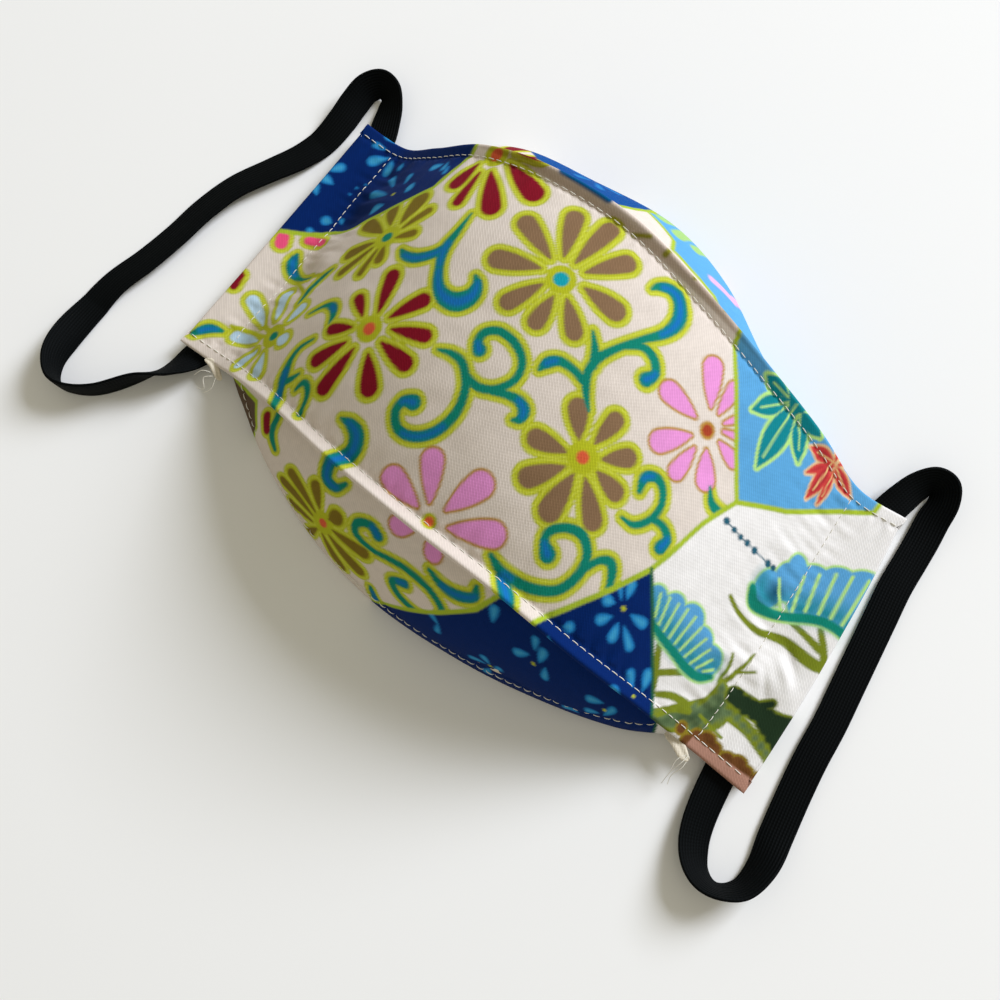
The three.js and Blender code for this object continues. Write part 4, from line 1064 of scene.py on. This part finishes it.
def make_panel():
    """Middle panel with both folds: lip, stitch line, crowned panel, stitch line, lip."""
    lip = np.linspace(1, 0, 22)[:-1]
    across = np.linspace(0, 1, 176)
    low = lip_points(ROWS[:, None], lip[None], False)
    centre = panel_points(ROWS[:, None], across[None])
    high = lip_points(ROWS[:, None], lip[::-1][None], True)
    points = np.concatenate([low, centre, high], axis=1)
    half = np.interp(ROWS, FINE_ROWS, HALF_WIDTH)[:, None]
    v = np.concatenate([-half - lip[None] * LIP_ARC, half * (2 * across[None] - 1),
                        half + lip[::-1][None] * LIP_ARC], axis=1)
    side = np.concatenate([0 * lip, across, 0 * lip + 1])
    u = fabric_u(ROWS[:, None], side[None])
    distance = half - np.abs(v)
    on_panel = np.clip(distance / 1.5, 0, 1)
    pucker = seam_pucker(u, distance - 0.4, RIDGE_PITCH, 0.16, 1.7)
    waves = seam_pucker(u + 3 * np.sin(u / 9), distance, 7.4, 0.22, 6.0)
    groove = -0.28 * np.exp(-((distance - 0.2) / 0.7) ** 2)
    ends = np.clip(np.minimum(u - u[:1], u[-1:] - u) / 6, 0, 1)
    normals = grid_normals(points)
    height = crease_height(u, v) * on_panel * ends + pucker + waves * on_panel + groove
    points = points + normals * (height * (0.35 + 0.65 * on_panel))[..., None]
    faces = grid_faces(*points.shape[:2])
    panel = new_object("middle_panel", points, faces, np.stack([u, v], -1) * MM, print_and_shade_colour(u, v))
    return dress(panel, PRINTED, "outer_cloth")


def flap_grid(high, count=84):
    """Points and fabric places of a flap, from the fold's root to the hem."""
    part = np.linspace(0, 1, count)
    points = flap_points(ROWS[:, None], part[None], high)
    half = np.interp(ROWS, FINE_ROWS, HALF_WIDTH)[:, None]
    v = half + LIP_ARC + run_length(points, 1)
    u = np.repeat(fabric_u(ROWS, 1.0 if high else 0.0)[:, None], count, axis=1)
    return points, u, v * (1 if high else -1)


def make_flap(name, high):
    """Nose or chin flap: a curved sheet whose hem is turned in round a small radius."""
    points, u, v = flap_grid(high)
    sign = 1.0 if high else -1.0
    normals = grid_normals(points) * sign
    from_hem = np.abs(v[:, -1:]) - np.abs(v)
    from_root = np.abs(v) - np.abs(v[:, :1])
    ends = np.clip(np.minimum(u - u[:1], u[-1:] - u) / 12, 0, 1)
    free = np.clip(from_root / 8, 0, 1) * np.clip(from_hem / 10, 0, 1) * ends
    slow = 0.9 * smooth_noise(u, v * 0.35, 46, 21 if high else 34) * free
    inset = HEM_INSET[high]
    groove = -0.22 * np.exp(-((from_hem - inset) / 0.6) ** 2)
    pucker = seam_pucker(u, from_hem - inset, 6.1, 0.12, 3.0)
    points = points + normals * (slow + groove + pucker)[..., None]
    run = unit(points[:, -1:] - points[:, -3:-2])
    inward = -normals[:, -1:]
    room = np.clip((from_root[:, -1:, None] - 2) / 12, 0.01, 1)
    radius = HEM_RADIUS * room
    angle = np.linspace(0, np.pi, 9)[1:][None, :, None]
    curl = points[:, -1:] + inward * radius * (1 - np.cos(angle)) + run * radius * np.sin(angle)
    back = np.linspace(0, HEM_TURN, 9)[1:][None, :, None] * room
    turned = curl[:, -1:] - run * back
    points = np.concatenate([points, curl, turned], axis=1)
    points[..., 2] = np.maximum(points[..., 2], LOWEST_HEM)
    extra = run_length(points, 1)[:, u.shape[1]:]
    base = run_length(points, 1)[:, u.shape[1] - 1:u.shape[1]]
    v = np.concatenate([v, v[:, -1:] + sign * (extra - base)], axis=1)
    u = np.concatenate([u, np.repeat(u[:, -1:], extra.shape[1], axis=1)], axis=1)
    faces = grid_faces(*points.shape[:2], flip=not high)
    flap = new_object(name, points, faces, np.stack([u, v], -1) * MM, print_and_shade_colour(u, v))
    return dress(flap, PRINTED, "outer_cloth")


PANEL = make_panel()
NOSE_FLAP = make_flap("nose_flap", True)
CHIN_FLAP = make_flap("chin_flap", False)


def make_casing(name, node, side):
    """Tab channel: the cloth's end carried round the tab's edge, flat underneath, and up to its seam."""
    across = np.linspace(0.0, 1.0, 120)
    edge_row, seam_row = (0.0, SEAM_ROW) if side < 0 else (float(LAST_ROW), LAST_ROW - SEAM_ROW)
    edge = panel_points(edge_row, across)
    seam = panel_points(seam_row, across)
    drop = edge[:, 2] - CHANNEL_FLOOR
    turn = np.linspace(0, np.pi, 26)
    out = 1.15 * np.sin(turn) ** 0.6
    down = (1 - np.cos(turn)) / 2
    rim = np.stack(np.broadcast_arrays(edge[:, None, 0] + side * out[None],
                                       edge[:, None, 1], edge[:, None, 2] - drop[:, None] * down[None]), -1)
    under = np.linspace(0, 1, 26)[1:]
    rise = np.clip((under - 0.72) / 0.28, 0, 1) ** 1.6
    floor_x = edge[:, None, 0] * (1 - under[None]) + (seam[:, None, 0]) * under[None]
    floor_z = CHANNEL_FLOOR + (seam[:, None, 2] - 1.2 - CHANNEL_FLOOR) * rise[None]
    floor_y = edge[:, None, 1] * (1 - under[None]) + seam[:, None, 1] * under[None]
    bottom = np.stack(np.broadcast_arrays(floor_x, floor_y, floor_z), -1)
    points = np.concatenate([rim, bottom], axis=1)
    run = run_length(points, 1)
    half = np.interp(edge_row, FINE_ROWS, HALF_WIDTH)
    u_edge = fabric_u(edge_row, across)
    u = u_edge[:, None] + side * run
    v = np.repeat((half * (2 * across - 1))[:, None], points.shape[1], axis=1)
    wave = 0.18 * smooth_noise(v, u, 15, 5) * np.clip(run / 3, 0, 1) * np.clip((run[:, -1:] - run) / 3, 0, 1)
    points[..., 2] = np.maximum(points[..., 2] + wave, LOWEST_CHANNEL)
    casing = new_object(name, points, grid_faces(*points.shape[:2], flip=side > 0),
                        np.stack([u, v], -1) * MM, print_and_shade_colour(u, v))
    return dress(casing, PRINTED, node)


CASING_LEFT = make_casing("left_channel", "casing_left", -1)
CASING_RIGHT = make_casing("right_channel", "casing_right", 1)


# ---------------------------------------------------------------- lining
def make_lining():
    """Plain lining: the outer shape without its folds, moved inwards, from tab seam to tab seam."""
    rows = np.linspace(LINING_ROW, LAST_ROW - LINING_ROW, 190)
    parts = np.linspace(0, 1, 44)
    chin = flap_points(rows[:, None], parts[::-1][None], False)[:, 2:]
    nose = flap_points(rows[:, None], parts[None], True)[:, :-2]
    centre = panel_points(rows[:, None], np.linspace(0, 1, 80)[None])
    points = np.concatenate([chin, centre, nose], axis=1)
    run = run_length(points, 1)
    u = np.repeat(fabric_u(rows, 0.5)[:, None], points.shape[1], axis=1)
    inward = -grid_normals(points)
    depth = LINING_DEPTH + 0.25 * smooth_noise(u, run, 34, 12)
    points = points + inward * np.maximum(depth, 0.8)[..., None]
    points[..., 2] = np.maximum(points[..., 2], LOWEST_LINING)
    lining = new_object("plain_lining", points, grid_faces(*points.shape[:2]),
                        np.stack([u, run], -1) * MM)
    return dress(lining, PLAIN, "lining")


LINING = make_lining()


# ---------------------------------------------------------------- stitching
def make_stitches(name, points, normals, pitch):
    """Run of stitches along a line: short threads that dip into the cloth at both ends."""
    run = run_length(points)
    count = int(run[-1] / pitch)
    sides, rings = 6, 7
    random = np.random.default_rng(len(name) + count)
    start = (np.arange(count) + 0.12 + random.uniform(-0.04, 0.04, count)) * pitch
    t = np.linspace(0, 1, rings)
    place = start[:, None] + t[None] * pitch * (STITCH_SHARE + random.uniform(-0.05, 0.05, count))[:, None]
    at = np.stack([np.interp(place, run, points[:, k]) for k in range(3)], -1)
    up = unit(np.stack([np.interp(place, run, normals[:, k]) for k in range(3)], -1))
    along = unit(np.gradient(at, axis=1))
    side = unit(np.cross(along, up))
    swell = np.sin(np.pi * t) ** 0.5
    lift = (-0.22 + 0.36 * swell)[None, :, None]
    slant = ((t - 0.5) * 0.12)[None, :, None]
    middle = at + up * lift + side * slant
    thick = THREAD_RADIUS * (0.5 + 0.5 * swell)[None, :, None, None]
    turn = np.linspace(0, 2 * np.pi, sides, endpoint=False)[None, None, :, None]
    rings_points = middle[:, :, None] + thick * (np.cos(turn) * side[:, :, None]
                                                 + np.sin(turn) * up[:, :, None])
    one = grid_faces(rings, sides, False, True)
    faces = (one[None] + (np.arange(count) * rings * sides)[:, None, None]).reshape(-1, 4)
    caps = []
    for ring in (0, rings - 1):
        base = np.arange(count)[:, None] * rings * sides + ring * sides
        order = (0, 1, 2, 3) if ring else (3, 2, 1, 0)
        other = (0, 3, 4, 5) if ring else (5, 4, 3, 0)
        caps += [base + np.array(order)[None], base + np.array(other)[None]]
    faces = np.concatenate([faces, *caps])
    stitches = new_object(name, rings_points, faces)
    return dress(stitches, THREAD)


def ridge_line(high, offset):
    """Line on a fold's lip, offset from the stitch line towards the tip, with its normals."""
    rows = np.linspace(0.02, LAST_ROW - 0.02, 700)
    part = offset / LIP_ARC
    points = lip_points(rows, part, high)
    ahead = lip_points(rows, part + 0.02, high) - points
    normals = unit(np.cross(np.gradient(points, axis=0), ahead)) * (1 if high else -1)
    return points, normals


def tab_line(knots):
    """Line across a tab through (u, v) places, on the panel, with its normals."""
    u, v = spline(knots, 160).T
    table = np.linspace(0, LAST_ROW, 1201)
    width = 2 * np.interp(table, FINE_ROWS, HALF_WIDTH)
    along = fabric_u(table, np.clip(0.5 + v[:, None] / width, 0, 1))
    after = np.clip((along < u[:, None]).sum(axis=1), 1, len(table) - 1)
    each = np.arange(len(u))
    short, past = along[each, after - 1], along[each, after]
    rows = table[after - 1] + np.clip((u - short) / (past - short), 0, 1) * (table[1] - table[0])
    across = np.clip(0.5 + v / (2 * np.interp(rows, FINE_ROWS, HALF_WIDTH)), 0, 1)
    points = panel_points(rows, across)
    tangent_row = panel_points(rows + 0.01, across) - points
    tangent_side = panel_points(rows, np.clip(across + 0.005, 0, 1)) - panel_points(rows, across - 0.005)
    normals = unit(np.cross(tangent_row, tangent_side))
    return points + normals * crease_height(u, v)[:, None], normals


def hem_line(high, inset):
    """Line on a flap, inset from its hem, with its normals."""
    grid, u, v = flap_grid(high)
    sign = 1.0 if high else -1.0
    normals = grid_normals(grid) * sign
    from_hem = np.abs(v[:, -1:]) - np.abs(v)
    pick = np.argmin(np.abs(from_hem - inset), axis=1)
    at = np.arange(len(grid))
    keep = (at > 30) & (at < len(grid) - 30)
    return grid[at, pick][keep], normals[at, pick][keep]


LEFT_SEAM = ((-106.5, 40.5), (-105.6, 30), (-104.8, 16), (-103.2, 8), (-102.5, -5), (-101.4, -15),
             (-100.4, -30), (-98.6, -40.5))
RIGHT_SEAM = ((91.0, 40.5), (91.6, 28), (92.3, 16), (93.2, 4), (94.0, -6), (94.8, -20), (95.4, -32),
              (95.6, -40.5))
for high, side in ((False, "chin"), (True, "nose")):
    make_stitches(side + "_fold_stitches", *ridge_line(high, 0.35), RIDGE_PITCH)
    make_stitches(side + "_hem_stitches", *hem_line(high, HEM_INSET[high]), HEM_PITCH)
make_stitches("left_channel_stitches", *tab_line(LEFT_SEAM), TAB_PITCH)
make_stitches("right_channel_stitches", *tab_line(RIGHT_SEAM), TAB_PITCH)


# ---------------------------------------------------------------- lining corners and thread ends
def make_corner(name, node, wider, depth_part):
    """Folded corner of lining: a curled tongue of cloth, two layers with a round outer edge.

    It reaches wider millimetres further along the fold than its solid, and depth_part of its depth
    to each side of its middle.
    """
    low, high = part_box(node)
    low, high = np.array(low) / MM, np.array(high) / MM
    s, t = np.meshgrid(np.linspace(0, 1, 34), np.linspace(0, 1, 40, endpoint=False), indexing="ij")
    turn = 2 * np.pi * t
    reach = np.sin(np.pi * np.clip(s, 0.01, 0.99)) ** 0.45
    high[1] += 1.4
    low[0] -= wider
    length, depth, height = high - low
    x = low[0] + length * s
    y = ((low[1] + high[1]) / 2 + depth * depth_part * reach * np.cos(turn)
         + 0.7 * np.sin(5 * s) - 1.1 * (s - 0.5))
    dimple = 1 - 0.75 * np.exp(-(np.cos(turn) / 0.45) ** 2)
    z = (low[2] + high[2]) / 2 + height * 0.4 * np.sin(turn) * reach * dimple + 0.3 * np.sin(6 * s)
    points = np.stack([x, y, z], -1)
    corner = new_object(name, points, grid_faces(34, 40, False, True), np.stack([x, y], -1) * MM)
    return dress(corner, PLAIN, node)


make_corner("left_lining_corner", "lining_corner_left", 0.6, 0.28)
make_corner("right_lining_corner", "lining_corner_right", 1.6, 0.40)


def make_thread_ends(name, lines):
    """Loose thread ends: thin tubes along smooth curves."""
    points, faces, base = [], [], 0
    for knots in lines:
        middle = spline(knots, 40) - MIDDLE
        along = unit(np.gradient(middle, axis=0))
        side = unit(np.cross(along, np.array([0.2, 0.3, 1.0])))
        up = np.cross(side, along)
        turn = np.linspace(0, 2 * np.pi, 6, endpoint=False)[None, :, None]
        taper = THREAD_RADIUS * np.linspace(1, 0.7, 40)[:, None, None]
        points.append((middle[:, None] + taper * (np.cos(turn) * side[:, None] + np.sin(turn) * up[:, None])
                       ).reshape(-1, 3))
        faces.append(grid_faces(40, 6, False, True) + base)
        base += 240
    ends = new_object(name, np.concatenate(points), np.concatenate(faces))
    return dress(ends, THREAD)


LEFT_ENDS = (
    ((-86.5, -47.5, 6.6), (-88.6, -49.6, 6.2), (-87.0, -52.0, 4.6), (-89.6, -53.0, 3.0)),
    ((-85.5, -47.5, 6.4), (-84.6, -50.8, 5.8), (-86.4, -53.0, 4.2)),
    ((-88.0, -47.0, 6.2), (-90.8, -48.2, 5.8), (-92.2, -50.6, 4.4)),
)
RIGHT_ENDS = (
    ((90.4, -46.8, 7.6), (90.0, -49.8, 7.6), (89.4, -53.2, 6.0), (89.6, -57.2, 3.6)),
    ((90.8, -46.9, 7.4), (91.0, -50.4, 7.2), (90.2, -53.8, 5.6), (91.0, -56.4, 3.8)),
    ((90.0, -46.8, 7.5), (88.6, -49.6, 7.4), (89.0, -52.6, 6.2)),
)
make_thread_ends("left_thread_ends", LEFT_ENDS)
make_thread_ends("right_thread_ends", RIGHT_ENDS)


# ---------------------------------------------------------------- floor, lights
def make_stage():
    """Pale plain floor, a large window-like light from the nose side and a soft fill."""
    floor = new_object("floor", [(-4000, -4000, -0.05), (4000, -4000, -0.05), (4000, 4000, -0.05),
                                 (-4000, 4000, -0.05)], [(0, 1, 2, 3)])
    material, _, shader, _ = node_material("pale_table")
    shader.inputs["Base Color"].default_value = (0.86, 0.86, 0.85, 1)
    shader.inputs["Roughness"].default_value = 0.9
    shader.inputs["Specular IOR Level"].default_value = 0.1
    floor.data.materials.append(material)
    for name, place, aim, size, power, colour in (
            ("window", (0.75, 2.5, 1.55), (0, 0, 0.02), 1.3, 128.0, (0.86, 0.90, 1.0)),
            ("fill", (0.5, -0.5, 0.9), (0, 0, 0), 1.2, 0.5, (1.0, 0.95, 0.85))):
        data = bpy.data.lights.new(name, "AREA")
        data.size = size
        data.energy = power
        data.color = colour
        light = bpy.data.objects.new(name, data)
        light.location = place
        light.rotation_euler = (Vector(aim) - Vector(place)).to_track_quat("-Z", "Y").to_euler()
        bpy.context.scene.collection.objects.link(light)
    world = bpy.data.worlds.new("room")
    world.use_nodes = True
    world.node_tree.nodes["Background"].inputs[0].default_value = (1.0, 0.945, 0.77, 1)
    world.node_tree.nodes["Background"].inputs[1].default_value = 0.42
    bpy.context.scene.world = world
    bpy.context.scene.view_settings.view_transform = "Standard"
    bpy.context.scene.view_settings.look = "None"


make_stage()
